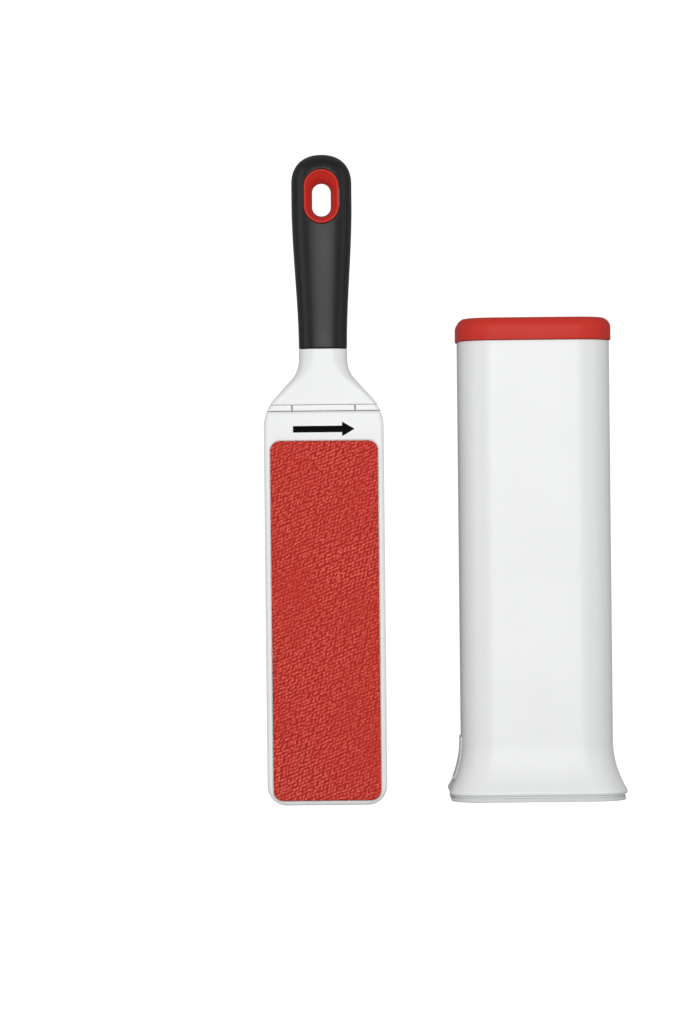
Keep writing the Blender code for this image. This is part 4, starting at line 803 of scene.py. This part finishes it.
def makeHeadShell(side, name, replaced):
    look, split = brushLook, headLook["split"]
    outline, wall, top = headOutline(), headLook["wall"], look["headLength"]
    half = look["headThickness"] / 2
    seat = half - headLook["recess"]
    floorInside = seat - headLook["floor"]
    hollow = inset(outline, wall)
    rings = [
        facing(brushAxis, hollow, side * floorInside),
        facing(brushAxis, hollow, side * split),
        facing(brushAxis, inset(outline, 0.25), side * split),
        facing(brushAxis, outline, side * (split + 0.25)),
    ]
    for into, down in quarterRound(look["edgeRadius"], 12):
        rings.append(facing(brushAxis, inset(outline, into), side * (half - down)))
    shell = skinRings(name, rings)

    deep = (side * (floorInside + 0.6), side * split)
    socket = headLook["socketWidth"] / 2
    up = (top - headLook["socketHeight"], top - wall / 2)
    tools = [block("socket", brushAxis, (-socket, socket), deep, up)]
    for spot in screwPlaces:
        centre, long = (spot.x, sum(deep) / 2, spot.z), abs(deep[0] - deep[1])
        tools.append(rod("boss", brushAxis, headLook["bossRadius"], "Y", centre, long))
    combine(shell, tools, "UNION")

    # the recess has a small rounded lip where it meets the face
    lip, gap = headLook["recessEdge"], padSize["gap"]
    steps = [(gap + lip + 0.2, half + 0.6)]
    steps += [(gap + down, half - into) for into, down in quarterRound(lip, 4)]
    steps.append((gap, seat))
    rings = [facing(brushAxis, padOutline(grow), side * depth) for grow, depth in steps]
    tools = [skinRings("recess", rings)]
    shaftLow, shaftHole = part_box("swivel_shaft")[0].z / mm, headLook["shaftClearance"]
    centre = (0, 0, (shaftLow + top + 6) / 2)
    tools.append(rod("shaftSeat", brushAxis, shaftHole, "Z", centre, top + 6 - shaftLow, 48))
    bar = sizeOf("swivel_shaft").x / 2 + 0.3
    up = (shaftLow - 0.3, shaftLow + 5.8)
    tools.append(block("barSeat", brushAxis, (-bar, bar), (-4, 4), up))
    for x in (-plateLook["notchOffset"], plateLook["notchOffset"]):
        across = (x - plateLook["bumpHalf"], x + plateLook["bumpHalf"])
        up = (top - 0.8, top + 4)
        tools.append(block("detentNotch", brushAxis, across, (-2.8, 2.8), up))
    tip = (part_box("head_screw_1")[1].y - brushAxis.y) / mm + 0.3
    screwBore = headLook["screwBore"]
    for spot in screwPlaces:
        # radius, middle and length of each hole
        holes = ((headLook["screwSeat"], -seat - 0.3, 4), (screwBore, -seat / 2, seat + 2))
        if side > 0:
            holes = ((screwBore, (tip - 1) / 2, tip + 1),)
        for radius, y, long in holes:
            centre = (spot.x, y, spot.z)
            tools.append(rod("screwHole", brushAxis, radius, "Y", centre, long))
    combine(shell, tools, "DIFFERENCE")
    finishPiece(shell, whiteAbs, "brush_head", [replaced])


makeHeadShell(-1, "headFrontShell", "head_front_shell")
makeHeadShell(1, "headRearShell", "head_rear_shell")
print("head made")


# Pile pads

pileLook = {
    "slant": 21,  # degrees that the rows of the weave climb to the right
    "rowPitch": 1.65,  # mm, one row of the weave
    "tuftPitch": 2.0,  # mm, along a row
    "tuftLength": 0.95,
    "tuftWidth": 0.42,
    "lean": (4, 34),  # degrees from the row, by row
    "relief": 0.85,  # mm, from the roots to the tips
    "crown": 0.25,
    "edge": 0.8,
    "spacing": 0.3,
}


def pileHeight(x, z, seed, look):
    # 0 at the roots and 1 at the tips of the tufts, for places in mm
    draw = np.random.RandomState(seed)
    count = 256
    jitter = draw.uniform(-1, 1, (4, count, count))
    slant = math.radians(look["slant"])
    x, z = x * math.cos(slant) + z * math.sin(slant), z * math.cos(slant) - x * math.sin(slant)
    row = np.floor(z / look["rowPitch"])
    best = np.zeros_like(x)
    for stepRow in (-1, 0, 1):
        r = row + stepRow
        shift = np.where(np.mod(r, 2) > 0.5, 0.5, 0.0) + 0.12 * np.sin(r * 1.7)
        col = np.floor(x / look["tuftPitch"] - shift)
        for stepCol in (-1, 0, 1):
            c = col + stepCol
            a = np.mod(r, count).astype(int)
            b = np.mod(c, count).astype(int)
            centreX = (c + 0.5 + shift) * look["tuftPitch"] + 0.45 * jitter[0, a, b]
            centreZ = (r + 0.5) * look["rowPitch"] + 0.35 * jitter[1, a, b]
            lean = np.where(np.mod(r, 2) > 0.5, look["lean"][0], look["lean"][1])
            lean = np.radians(lean + 24 * jitter[2, a, b])
            along = (x - centreX) * np.cos(lean) + (z - centreZ) * np.sin(lean)
            across = -(x - centreX) * np.sin(lean) + (z - centreZ) * np.cos(lean)
            far = (along / look["tuftLength"]) ** 2 + (across / look["tuftWidth"]) ** 2
            tall = 0.78 + 0.22 * jitter[3, a, b]
            best = np.maximum(best, tall * np.exp(-far * 0.9))
    return best


def edgeDistance(x, z, halfX, halfZ, corner):
    # distance inwards from a rounded rectangle's outline
    overX = np.abs(x) - (halfX - corner)
    overZ = np.abs(z) - (halfZ - corner)
    outside = np.hypot(np.maximum(overX, 0), np.maximum(overZ, 0))
    inside = np.minimum(np.maximum(overX, overZ), 0)
    return corner - outside - inside


def makePilePiece(name, halfX, halfZ, corner, thickness, place, seed, look):
    # a fine grid over the pad's outline, raised into tufts, then closed at the back
    columns = int(2 * halfX / look["spacing"])
    rows = int(2 * halfZ / look["spacing"])
    bpy.ops.object.select_all(action="DESELECT")
    bpy.ops.mesh.primitive_grid_add(x_subdivisions=columns, y_subdivisions=rows, size=2)
    pad = bpy.context.object
    pad.name = name
    mesh = pad.data
    count = len(mesh.vertices)
    points = np.zeros(count * 3)
    mesh.vertices.foreach_get("co", points)
    u, v = points.reshape(-1, 3)[:, 0], points.reshape(-1, 3)[:, 1]
    # rows and columns crowd a little at the rim, where the pile rounds over
    z = halfZ * v
    into = np.maximum(0, np.abs(z) - (halfZ - corner))
    wide = halfX - corner + np.sqrt(np.maximum(0, corner**2 - into**2))
    x = wide * u
    far = edgeDistance(x, z, halfX, halfZ, corner)
    tufts = pileHeight(x, z, seed, look)
    rim = np.clip(far / look["edge"], 0, 1)
    rounded = np.sqrt(np.clip(1 - (1 - rim) ** 2, 0, 1))
    crown = look["crown"] * (1 - (x / halfX) ** 4) * (1 - (z / halfZ) ** 12)
    body = thickness - look["relief"] - look["crown"] + crown
    depth = rounded * (body + look["relief"] * tufts)
    mesh.vertices.foreach_set("co", np.ravel(place(x, z, depth)))
    # this share drives the painted light: low at the roots and towards the rounded rim, painted
    # shade; high on the tips, painted highlight
    shade = mesh.attributes.new("pileHeight", "FLOAT", "POINT")
    shade.data.foreach_set("value", (tufts * (0.35 + 0.65 * rounded)).astype(np.float32))
    workOn(pad)
    bpy.ops.object.mode_set(mode="EDIT")
    bpy.ops.mesh.select_mode(type="EDGE")
    bpy.ops.mesh.select_all(action="DESELECT")
    bpy.ops.mesh.select_non_manifold()
    bpy.ops.mesh.edge_face_add()
    turnAndSmooth(70)
    return pad


def finishPile(pad, material, body, replaced):
    pad.data.materials.append(material)
    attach(pad, body)
    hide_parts(replaced)


def makePad(side, name, replaced, seed):
    low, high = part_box(replaced)
    size, centreZ = sizeOf(replaced), middle(replaced).z
    root = high.y if side < 0 else low.y

    def place(x, z, depth):
        px = brushAxis.x + (x if side < 0 else -x) * mm
        return np.stack([px, root + side * depth * mm, centreZ + z * mm], axis=1)

    sizes = (size.x / 2, size.z / 2, padSize["corner"], size.y)
    pad = makePilePiece(name, *sizes, place, seed, pileLook)
    finishPile(pad, padVelour, "brush_head", replaced)


makePad(-1, "frontPilePad", "front_pad", 11)
makePad(1, "rearPilePad", "rear_pad", 23)
print("pads made")


# Printed arrow

arrowLook = {
    "left": -15.6,
    "right": 15.6,
    "height": 190.6,
    "shaft": 3.3,
    "head": 6.3,
    "headTall": 7.5,
    "thickness": 0.05,
}


def makeArrow(side, name):
    # points the same way round the brush on both faces, so that the head turns for the other stroke
    look = arrowLook
    neck = look["right"] - look["head"]
    half, tall = look["shaft"] / 2, look["headTall"] / 2
    lower = [(look["left"], -half), (neck, -half), (neck, -tall)]
    outline = lower + [(look["right"], 0)] + [(x, -z) for x, z in reversed(lower)]
    bpy.ops.object.select_all(action="DESELECT")
    bpy.ops.mesh.primitive_circle_add(vertices=len(outline), radius=mm, fill_type="NGON")
    arrow = bpy.context.object
    arrow.name = name
    face = brushAxis.y + side * brushLook["headThickness"] / 2 * mm
    for vertex, (x, z) in zip(arrow.data.vertices, outline):
        across = x if side < 0 else -x
        vertex.co = (brushAxis.x + across * mm, face - side * 0.01 * mm, (look["height"] + z) * mm)
    bpy.ops.object.mode_set(mode="EDIT")
    bpy.ops.mesh.select_all(action="SELECT")
    bpy.ops.mesh.bevel(offset=0.15 * mm, segments=3, affect="VERTICES")
    bpy.ops.mesh.select_all(action="SELECT")
    bpy.ops.mesh.extrude_region_move(
        TRANSFORM_OT_translate={"value": (0, side * (look["thickness"] + 0.01) * mm, 0)}
    )
    bpy.ops.object.mode_set(mode="OBJECT")
    finishPiece(arrow, arrowInk, "brush_head", [])


makeArrow(-1, "frontArrowPrint")
makeArrow(1, "rearArrowPrint")
print("arrows printed")


# Holder

holderLook = {
    "width": 77.5,
    "depth": 60,
    "corner": 18,
    "wall": 2.2,
    "top": 235.2,
    "low": 2.12,
    "flareTop": 30,
    "flareOut": 6.45,
    "rimTop": 5.4,
    "rimRadius": 1.7,
    "tighten": 0.4,  # the corners tighten by this share of the flare
}
flareDrop = holderLook["flareTop"] - holderLook["rimTop"]
flareArc = (flareDrop**2 + holderLook["flareOut"] ** 2) / (2 * holderLook["flareOut"])
flareLean = math.asin(flareDrop / flareArc)


def flareAt(height):
    down = min(max(holderLook["flareTop"] - height, 0.0), flareDrop)
    return flareArc - math.sqrt(flareArc**2 - down**2)


def tubeOutline(out, wall=0.0):
    look = holderLook
    radius = look["corner"] - look["tighten"] * out - wall
    halfX, halfY = (look[size] / 2 + out - wall for size in ("width", "depth"))
    return roundedOutline(halfX, halfY, radius, 16, 7)


leverLook = {
    "width": 22.8,
    "low": 10.5,
    "top": 32.4,
    "proud": 0.8,
    "thickness": 2.6,
    "edge": 0.7,
    "ridges": (14.0, 16.4, 18.8),
    "ridgeHeight": 0.45,
    "sideGap": 0.6,
    "below": 1.7,
    "arm": (-5.5, 5.5),
    "armThickness": 1.8,
    "legThickness": 1.6,
    "barrel": 2.3,
    "pinBore": 1.3,
}


def makeBaseShell():
    look = holderLook
    top, low, rim = look["top"], look["low"], look["rimRadius"]
    heights = np.linspace(look["flareTop"], look["rimTop"], 26).tolist()
    profile = [(top, -0.3), (top - 0.1, -0.1), (top - 0.35, 0)]
    profile += [(h, 0.0) for h in np.linspace(top - 3, look["flareTop"] + 3, 22).tolist()]
    profile += [(h, flareAt(h)) for h in heights]
    rimOut = look["flareOut"] + rim * (1 - math.cos(flareLean))
    rimCentre = look["rimTop"] - rim * math.sin(flareLean)
    for i in range(1, 13):
        angle = flareLean - (flareLean + math.radians(84)) * i / 12
        height = rimCentre + rim * math.sin(angle)
        if height > low + 0.05:
            profile.append((height, rimOut - rim * (1 - math.cos(angle))))
    profile.append((low, profile[-1][1] - 0.25))
    rings = [upright(holderAxis, tubeOutline(out), h) for h, out in profile]
    inner = [(low, look["flareOut"] - 1)] + [(h, flareAt(h)) for h in reversed(heights)]
    inner += [(top - 0.3, 0.0), (top, 0.0)]
    rings += [upright(holderAxis, tubeOutline(out, look["wall"]), h) for h, out in inner]
    shell = skinRings("baseShell", rings, closed=True)

    wallX, wallY = look["width"] / 2 - look["wall"], look["depth"] / 2 - look["wall"]
    restY = look["depth"] / 2 - look["corner"] - 1.5
    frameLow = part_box("wiper_frame")[0].z / mm
    tools = []
    for sx in (-1, 1):
        for sy in (-1, 1):
            x, y = sx * 18, (sy * 4, sy * (wallY + flareAt(15) + 1))
            tools.append(block("dockRib", holderAxis, (x - 1, x + 1), y, (10, 15)))
            x, y = (sx * (wallX - 2.4), sx * (wallX + 1.1)), sy * restY
            up = (frameLow - 12, frameLow - 0.3)
            tools.append(block("frameRest", holderAxis, x, (y - 1, y + 1), up))
    pivot = middleFrom(holderAxis, "lever_pin")
    lever = leverLook
    half = lever["width"] / 2 + lever["sideGap"]
    for sy in (-1, 1):
        x, y = (-wallX - 1.1, pivot.x + 2.3), (sy * (half + 0.3), sy * (half + 2.8))
        tools.append(block("ear", holderAxis, x, y, (pivot.z - 3, pivot.z + 3)))
    combine(shell, tools, "UNION")
    up = (lever["low"] - lever["below"], lever["top"] + lever["sideGap"])
    window = block("leverWindow", holderAxis, (-60, 0.2 - wallX), (-half, half), up)
    pinHole = rod("pinHole", holderAxis, lever["pinBore"], "Y", (pivot.x, 0, pivot.z), 40, 24)
    combine(shell, [window, pinHole], "DIFFERENCE")
    finishPiece(shell, whiteAbs, "holder", ["base_shell"])


collarLook = {
    "height": 11.5,
    "proud": 0.9,
    "edge": 5.2,
    "lowerEdge": 0.35,
    "wall": 1.8,
    "topThickness": 2.4,
    "mouthX": 33.35,
    "mouthY": 14.25,
    "mouthCorner": 8,
    "lead": 3,
    "skirt": 19,
    "lip": 6.5,
}


def makeCollar():
    look, holder = collarLook, holderLook
    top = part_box("collar")[1].z / mm
    low = top - look["height"]
    halfX, halfY = holder["width"] / 2 + look["proud"], holder["depth"] / 2 + look["proud"]
    corner = holder["corner"] + look["proud"]

    def outer(shrink, height):
        outline = roundedOutline(halfX - shrink, halfY - shrink, corner - shrink, 16, 7)
        return upright(holderAxis, outline, height)

    def mouth(grow, height):
        sizes = (look[size] + grow for size in ("mouthX", "mouthY", "mouthCorner"))
        return upright(holderAxis, roundedOutline(*sizes, 16, 7), height)

    edge, wall = look["lowerEdge"], look["wall"]
    rings = [
        outer(edge * (1 - math.sin(a)), low + edge * (1 - math.cos(a))) for a in (0, 0.8, 1.57)
    ]
    rings += [outer(into, top - down) for into, down in quarterRound(look["edge"], 14)]
    rings += [mouth(out, top - down) for down, out in quarterRound(look["lead"], 10)]
    skirtLow = top - look["skirt"]
    ceiling = top - look["topThickness"] - 1
    rings += [mouth(0, skirtLow + 0.2), mouth(0.2, skirtLow), mouth(wall - 0.2, skirtLow)]
    rings += [mouth(wall, skirtLow + 0.2), mouth(wall, ceiling)]
    lipOut = holder["wall"] + look["proud"] + 0.3
    lipIn, lipLow = lipOut + wall, low - look["lip"]
    rings += [outer(lipIn + 1, ceiling), outer(lipIn, low + 2), outer(lipIn, lipLow)]
    rings += [outer(lipOut, lipLow), outer(lipOut, low)]
    collar = skinRings("collarRim", rings, closed=True)
    finishPiece(collar, redAbs, "holder", ["collar"])


def makeReleaseLever():
    look, wide = leverLook, holderLook["width"] / 2 + leverLook["proud"]
    half, edge, thick = look["width"] / 2, look["edge"], look["thickness"]
    rings = []
    for height in [look["low"] + (look["top"] - look["low"]) * i / 60 for i in range(61)]:
        ends = min(1.0, min(height - look["low"], look["top"] - height) / edge)
        shrink = edge * (1 - math.sqrt(max(0.0, 1 - (1 - ends) ** 2)))
        waves = [math.exp(-(((height - ridge) / 0.45) ** 2)) for ridge in look["ridges"]]
        rise = look["ridgeHeight"] * sum(waves)
        corner = max(edge - shrink * 0.5, 0.2)
        outline = roundedOutline(thick / 2 - shrink, half - shrink, corner, 6, 14)
        middleX = thick / 2 - wide - flareAt(height)
        ring = []
        for x, y in outline:
            # the ridges stand on the outer face only, and run out before its ends
            share = ease(-x / (thick / 2)) * ease((half - 2.2 - abs(y)) / 1.2)
            ring.append((middleX + x - rise * share * 0.5, y))
        rings.append(upright(holderAxis, ring, height))
    lever = skinRings("releaseLever", rings)
    pivot = middleFrom(holderAxis, "lever_pin")
    low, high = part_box("release_lever")
    legX, legLow, armLow = (high.x - holderAxis.x) / mm, low.z / mm, look["low"]
    arm, leg = look["arm"], (legX - look["legThickness"], legX)
    tools = [
        block("arm", holderAxis, (-41.5, legX), arm, (armLow, armLow + look["armThickness"])),
        block("hookLeg", holderAxis, leg, arm, (legLow, armLow + 0.6)),
    ]
    for sy in (-1, 1):
        centre = (pivot.x, sy * (4 + half) / 2, pivot.z)
        tools.append(rod("barrel", holderAxis, look["barrel"], "Y", centre, half - 4))
        across, up = (thick / 2 - wide, pivot.x - 0.3), (pivot.z - 1.84, pivot.z + 1.84)
        tools.append(block("web", holderAxis, across, (sy * 4.1, sy * (half - 0.1)), up))
    combine(lever, tools, "UNION")
    nose = block("hookNose", holderAxis, (legX - 2.6, legX - 1.2), arm, (legLow, legLow + 1.6))

    def atTip(a, b):
        level = abs((b - a).normalized().y) > 0.9
        return level and min(a.x, b.x) < high.x - 2 * mm and min(a.z, b.z) > low.z + mm

    bevelEdges(nose, 0.9 * mm, 1, atTip)
    combine(lever, [nose], "UNION")
    pinHole = rod("leverPinHole", holderAxis, look["pinBore"], "Y", (pivot.x, 0, pivot.z), 40, 24)
    combine(lever, [pinHole], "DIFFERENCE")
    finishPiece(lever, whiteAbs, "release_lever", ["release_lever"])


footLook = {
    "inset": 0.65,
    "height": 2,
    "edge": 0.5,
    "upstand": 6.6,
    "wall": 1.6,
    "corner": 8,
    "border": (6.3, 6.4),  # at the sides and at the front and rear
    "lug": (17.3, 21.8),
    "lugLength": 6.5,
    "lugHeight": 5.4,
    "pinBore": 1.3,
}


def makeFootRing():
    look, wall, level = footLook, footLook["wall"], footLook["height"]
    size = sizeOf("foot_ring") / 2
    openX, openY = size.x - look["border"][0], size.y - look["border"][1]

    def outer(shrink, height):
        out = holderLook["flareOut"] - look["inset"] - shrink
        return upright(holderAxis, tubeOutline(out), height)

    def inner(grow, height):
        outline = roundedOutline(openX + grow, openY + grow, look["corner"] + grow, 16, 7)
        return upright(holderAxis, outline, height)

    rings = [outer(into, up) for up, into in quarterRound(look["edge"], 5)]
    top = level + look["upstand"]
    rings += [outer(0, level - 0.1), outer(0.1, level), inner(wall + 0.3, level)]
    rings += [inner(wall, level + 0.3), inner(wall, top - 0.3), inner(wall - 0.3, top)]
    rings += [inner(0.3, top), inner(0, top - 0.3), inner(0, 0.3), inner(0.3, 0)]
    ring = skinRings("footRing", rings, closed=True)
    pin = middleFrom(holderAxis, "door_pin")
    tools = []
    across = (openX - look["lugLength"], openX + 0.8)
    for sy in (-1, 1):
        out = [sy * end for end in look["lug"]]
        tools.append(block("hingeLug", holderAxis, across, out, (0.02, look["lugHeight"])))
        out = (sy * 21.5, sy * (openY + 0.8))
        tools.append(block("lugFoot", holderAxis, across, out, (0.02, 2)))
    combine(ring, tools, "UNION")
    hinge = rod("hingeHole", holderAxis, look["pinBore"], "Y", pin, 43.2, 24)
    combine(ring, [hinge], "DIFFERENCE")
    finishPiece(ring, greyAbs, "holder", ["foot_ring"])


makeBaseShell()
print("base made")
makeCollar()
makeReleaseLever()
makeFootRing()
print("collar, lever and foot made")


# Wiper fabric

wiperPile = dict(pileLook, relief=0.7, crown=0.05, edge=0.5, spacing=0.4)
stripLook = {"thickness": 1.5, "bend": (4.5, 2.5), "ends": 0.65}  # each end's run and rise, in mm


def makeWiperFabric(side, name, replaced, body, seed):
    low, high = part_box(replaced)
    size, centre = sizeOf(replaced) / 2, middle(replaced)
    thickness = stripLook["thickness"]
    run, rise = (size * stripLook["ends"] for size in stripLook["bend"])
    lean = math.atan2(rise, run)
    flat = size.z - run - 0.6
    slant = math.hypot(run, rise)
    face = low.y if side > 0 else high.y  # the pile's tips, next to the brush
    base = (face + side * thickness * mm - holderAxis.y) / mm * side

    def place(x, z, depth):
        # the strip bends outwards at its two ends, and the pile stands square to it
        over = np.maximum(0, np.abs(z) - flat)
        turn = np.where(over > 0, lean, 0.0)
        up = np.sign(z) * (np.minimum(np.abs(z), flat) + over * np.cos(lean))
        out = base + over * np.sin(lean)
        y = out - depth * np.cos(turn)
        up = up + np.sign(z) * depth * np.sin(turn)
        spot = [centre.x + x * mm, holderAxis.y + side * y * mm, centre.z + up * mm]
        return np.stack(spot, axis=1)

    fabric = makePilePiece(name, size.x, flat + slant, 1.0, thickness, place, seed, wiperPile)
    finishPile(fabric, wiperVelour, body, replaced)


makeWiperFabric(-1, "frontWiperPile", "front_wiper_fabric", "front_wiper", 5)
makeWiperFabric(1, "rearWiperPile", "rear_wiper_fabric", "rear_wiper", 7)
print("wipers made")


# Wiper springs

# travel is how far a wiper moves, and spare keeps the shortened coil off its carrier
springLook = {"wire": 0.35, "turns": 4, "steps": 20, "sides": 10, "travel": 2.5, "spare": 0.25}


def makeWiperSpring(name, replaced):
    # a coil between the frame and the carrier, built at the length of the part it replaces; the
    # real one shortens as the wiper is pushed out
    look = springLook
    low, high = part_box(replaced)
    wire, spot = look["wire"] * mm, middle(replaced)
    radius = (high.x - low.x) / 2 - wire
    start, length = low.y + wire, high.y - low.y - 2 * wire
    count = look["turns"] * look["steps"]
    rise = length / (2 * math.pi * look["turns"])
    rings = []
    for i in range(count + 1):
        angle = 2 * math.pi * i / look["steps"]
        out = Vector((math.cos(angle), 0, math.sin(angle)))
        along = Vector((-radius * math.sin(angle), rise, radius * math.cos(angle))).normalized()
        across = along.cross(out)
        centre = Vector((spot.x, start + length * i / count, spot.z)) + radius * out
        ring = []
        for j in range(look["sides"]):
            turn = 2 * math.pi * j / look["sides"]
            ring.append(tuple(centre + wire * (math.cos(turn) * out + math.sin(turn) * across)))
        rings.append(ring)
    spring = skinRings(name, rings)
    finishPiece(spring, steel, "holder", [replaced])
    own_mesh(spring)


for side, half in ((-1, "front"), (1, "rear")):
    for hand in ("Left", "Right"):
        replaced = f"{half}_wiper_spring_{hand.lower()}"
        makeWiperSpring(f"{half}WiperSpring{hand}", replaced)
print("springs made")


# Studio

# glow lifts the paper to an even white
studio = {"paper": "#FFFFFF", "fibre": "#FDFDFD", "glow": 0.72, "world": 0.31}
# each one's power in watts, then its size, place and target in metres
softboxes = {
    "frontSoftbox": (9.6, (0.7, 0.9), (0.0, -1.35, 0.3), (0, 0, 0.15)),
    "leftSoftbox": (1.7, (0.4, 0.9), (-0.9, -0.5, 0.4), (0, 0, 0.15)),
    "rightSoftbox": (1.3, (0.4, 0.9), (0.95, -0.5, 0.4), (0, 0, 0.15)),
    "topSoftbox": (0.8, (1.2, 1.0), (0, 0.1, 1.2), (0, 0, 0)),
}


def makePaper():
    # a floor that sweeps up behind the set
    bpy.ops.object.select_all(action="DESELECT")
    bpy.ops.mesh.primitive_plane_add(size=1, location=(0, 0.5, 0))
    paper = bpy.context.object
    paper.name = "paperSweep"
    paper.scale = (9, 5, 1)
    bpy.ops.object.transform_apply(location=True, rotation=True, scale=True)
    back = 2.99  # just short of the plane's rear edge
    bpy.ops.object.mode_set(mode="EDIT")
    selectEdges(paper, lambda a, b: min(a.y, b.y) > back)
    bpy.ops.mesh.extrude_region_move(TRANSFORM_OT_translate={"value": (0, 0, 4)})
    selectEdges(paper, lambda a, b: min(a.y, b.y) > back and max(a.z, b.z) < 0.01)
    bpy.ops.mesh.bevel(offset=1.0, segments=16, affect="EDGES")
    turnAndSmooth(40, inside=True)
    material, tree, shader, place = newMaterial("whiteBackdropPaper")
    fibres = noise(tree, place, 3.0)
    tone = mix(tree, fibres, toLinear(studio["paper"]), toLinear(studio["fibre"]))
    inputs = {"Base Color": tone, "Roughness": 0.95, "Specular IOR Level": 0.1}
    glow = {"Emission Color": (1, 1, 1, 1), "Emission Strength": studio["glow"]}
    setInputs(tree, shader, inputs | glow)
    paper.data.materials.append(material)
    # it shows to the camera only, and neither lights nor shades the set
    paper.visible_diffuse = False
    paper.visible_glossy = False
    paper.visible_transmission = False
    paper.visible_shadow = False


def addSoftbox(name, power, size, place, target):
    data = bpy.data.lights.new(name, "AREA")
    data.energy = power
    data.shape = "RECTANGLE"
    data.size, data.size_y = size
    lamp = bpy.data.objects.new(name, data)
    bpy.context.scene.collection.objects.link(lamp)
    lamp.location = place
    lamp.rotation_euler = (Vector(target) - Vector(place)).to_track_quat("-Z", "Y").to_euler()


def makeLight():
    world = bpy.data.worlds.new("whiteStudio")
    bpy.context.scene.world = world
    world.use_nodes = True
    background = world.node_tree.nodes["Background"]
    inputs = {"Color": (1, 1, 1, 1), "Strength": studio["world"]}
    setInputs(world.node_tree, background, inputs)
    for name, box in softboxes.items():
        addSoftbox(name, *box)


makePaper()
makeLight()
bpy.context.scene.view_settings.view_transform = "Standard"
print("studio lit")
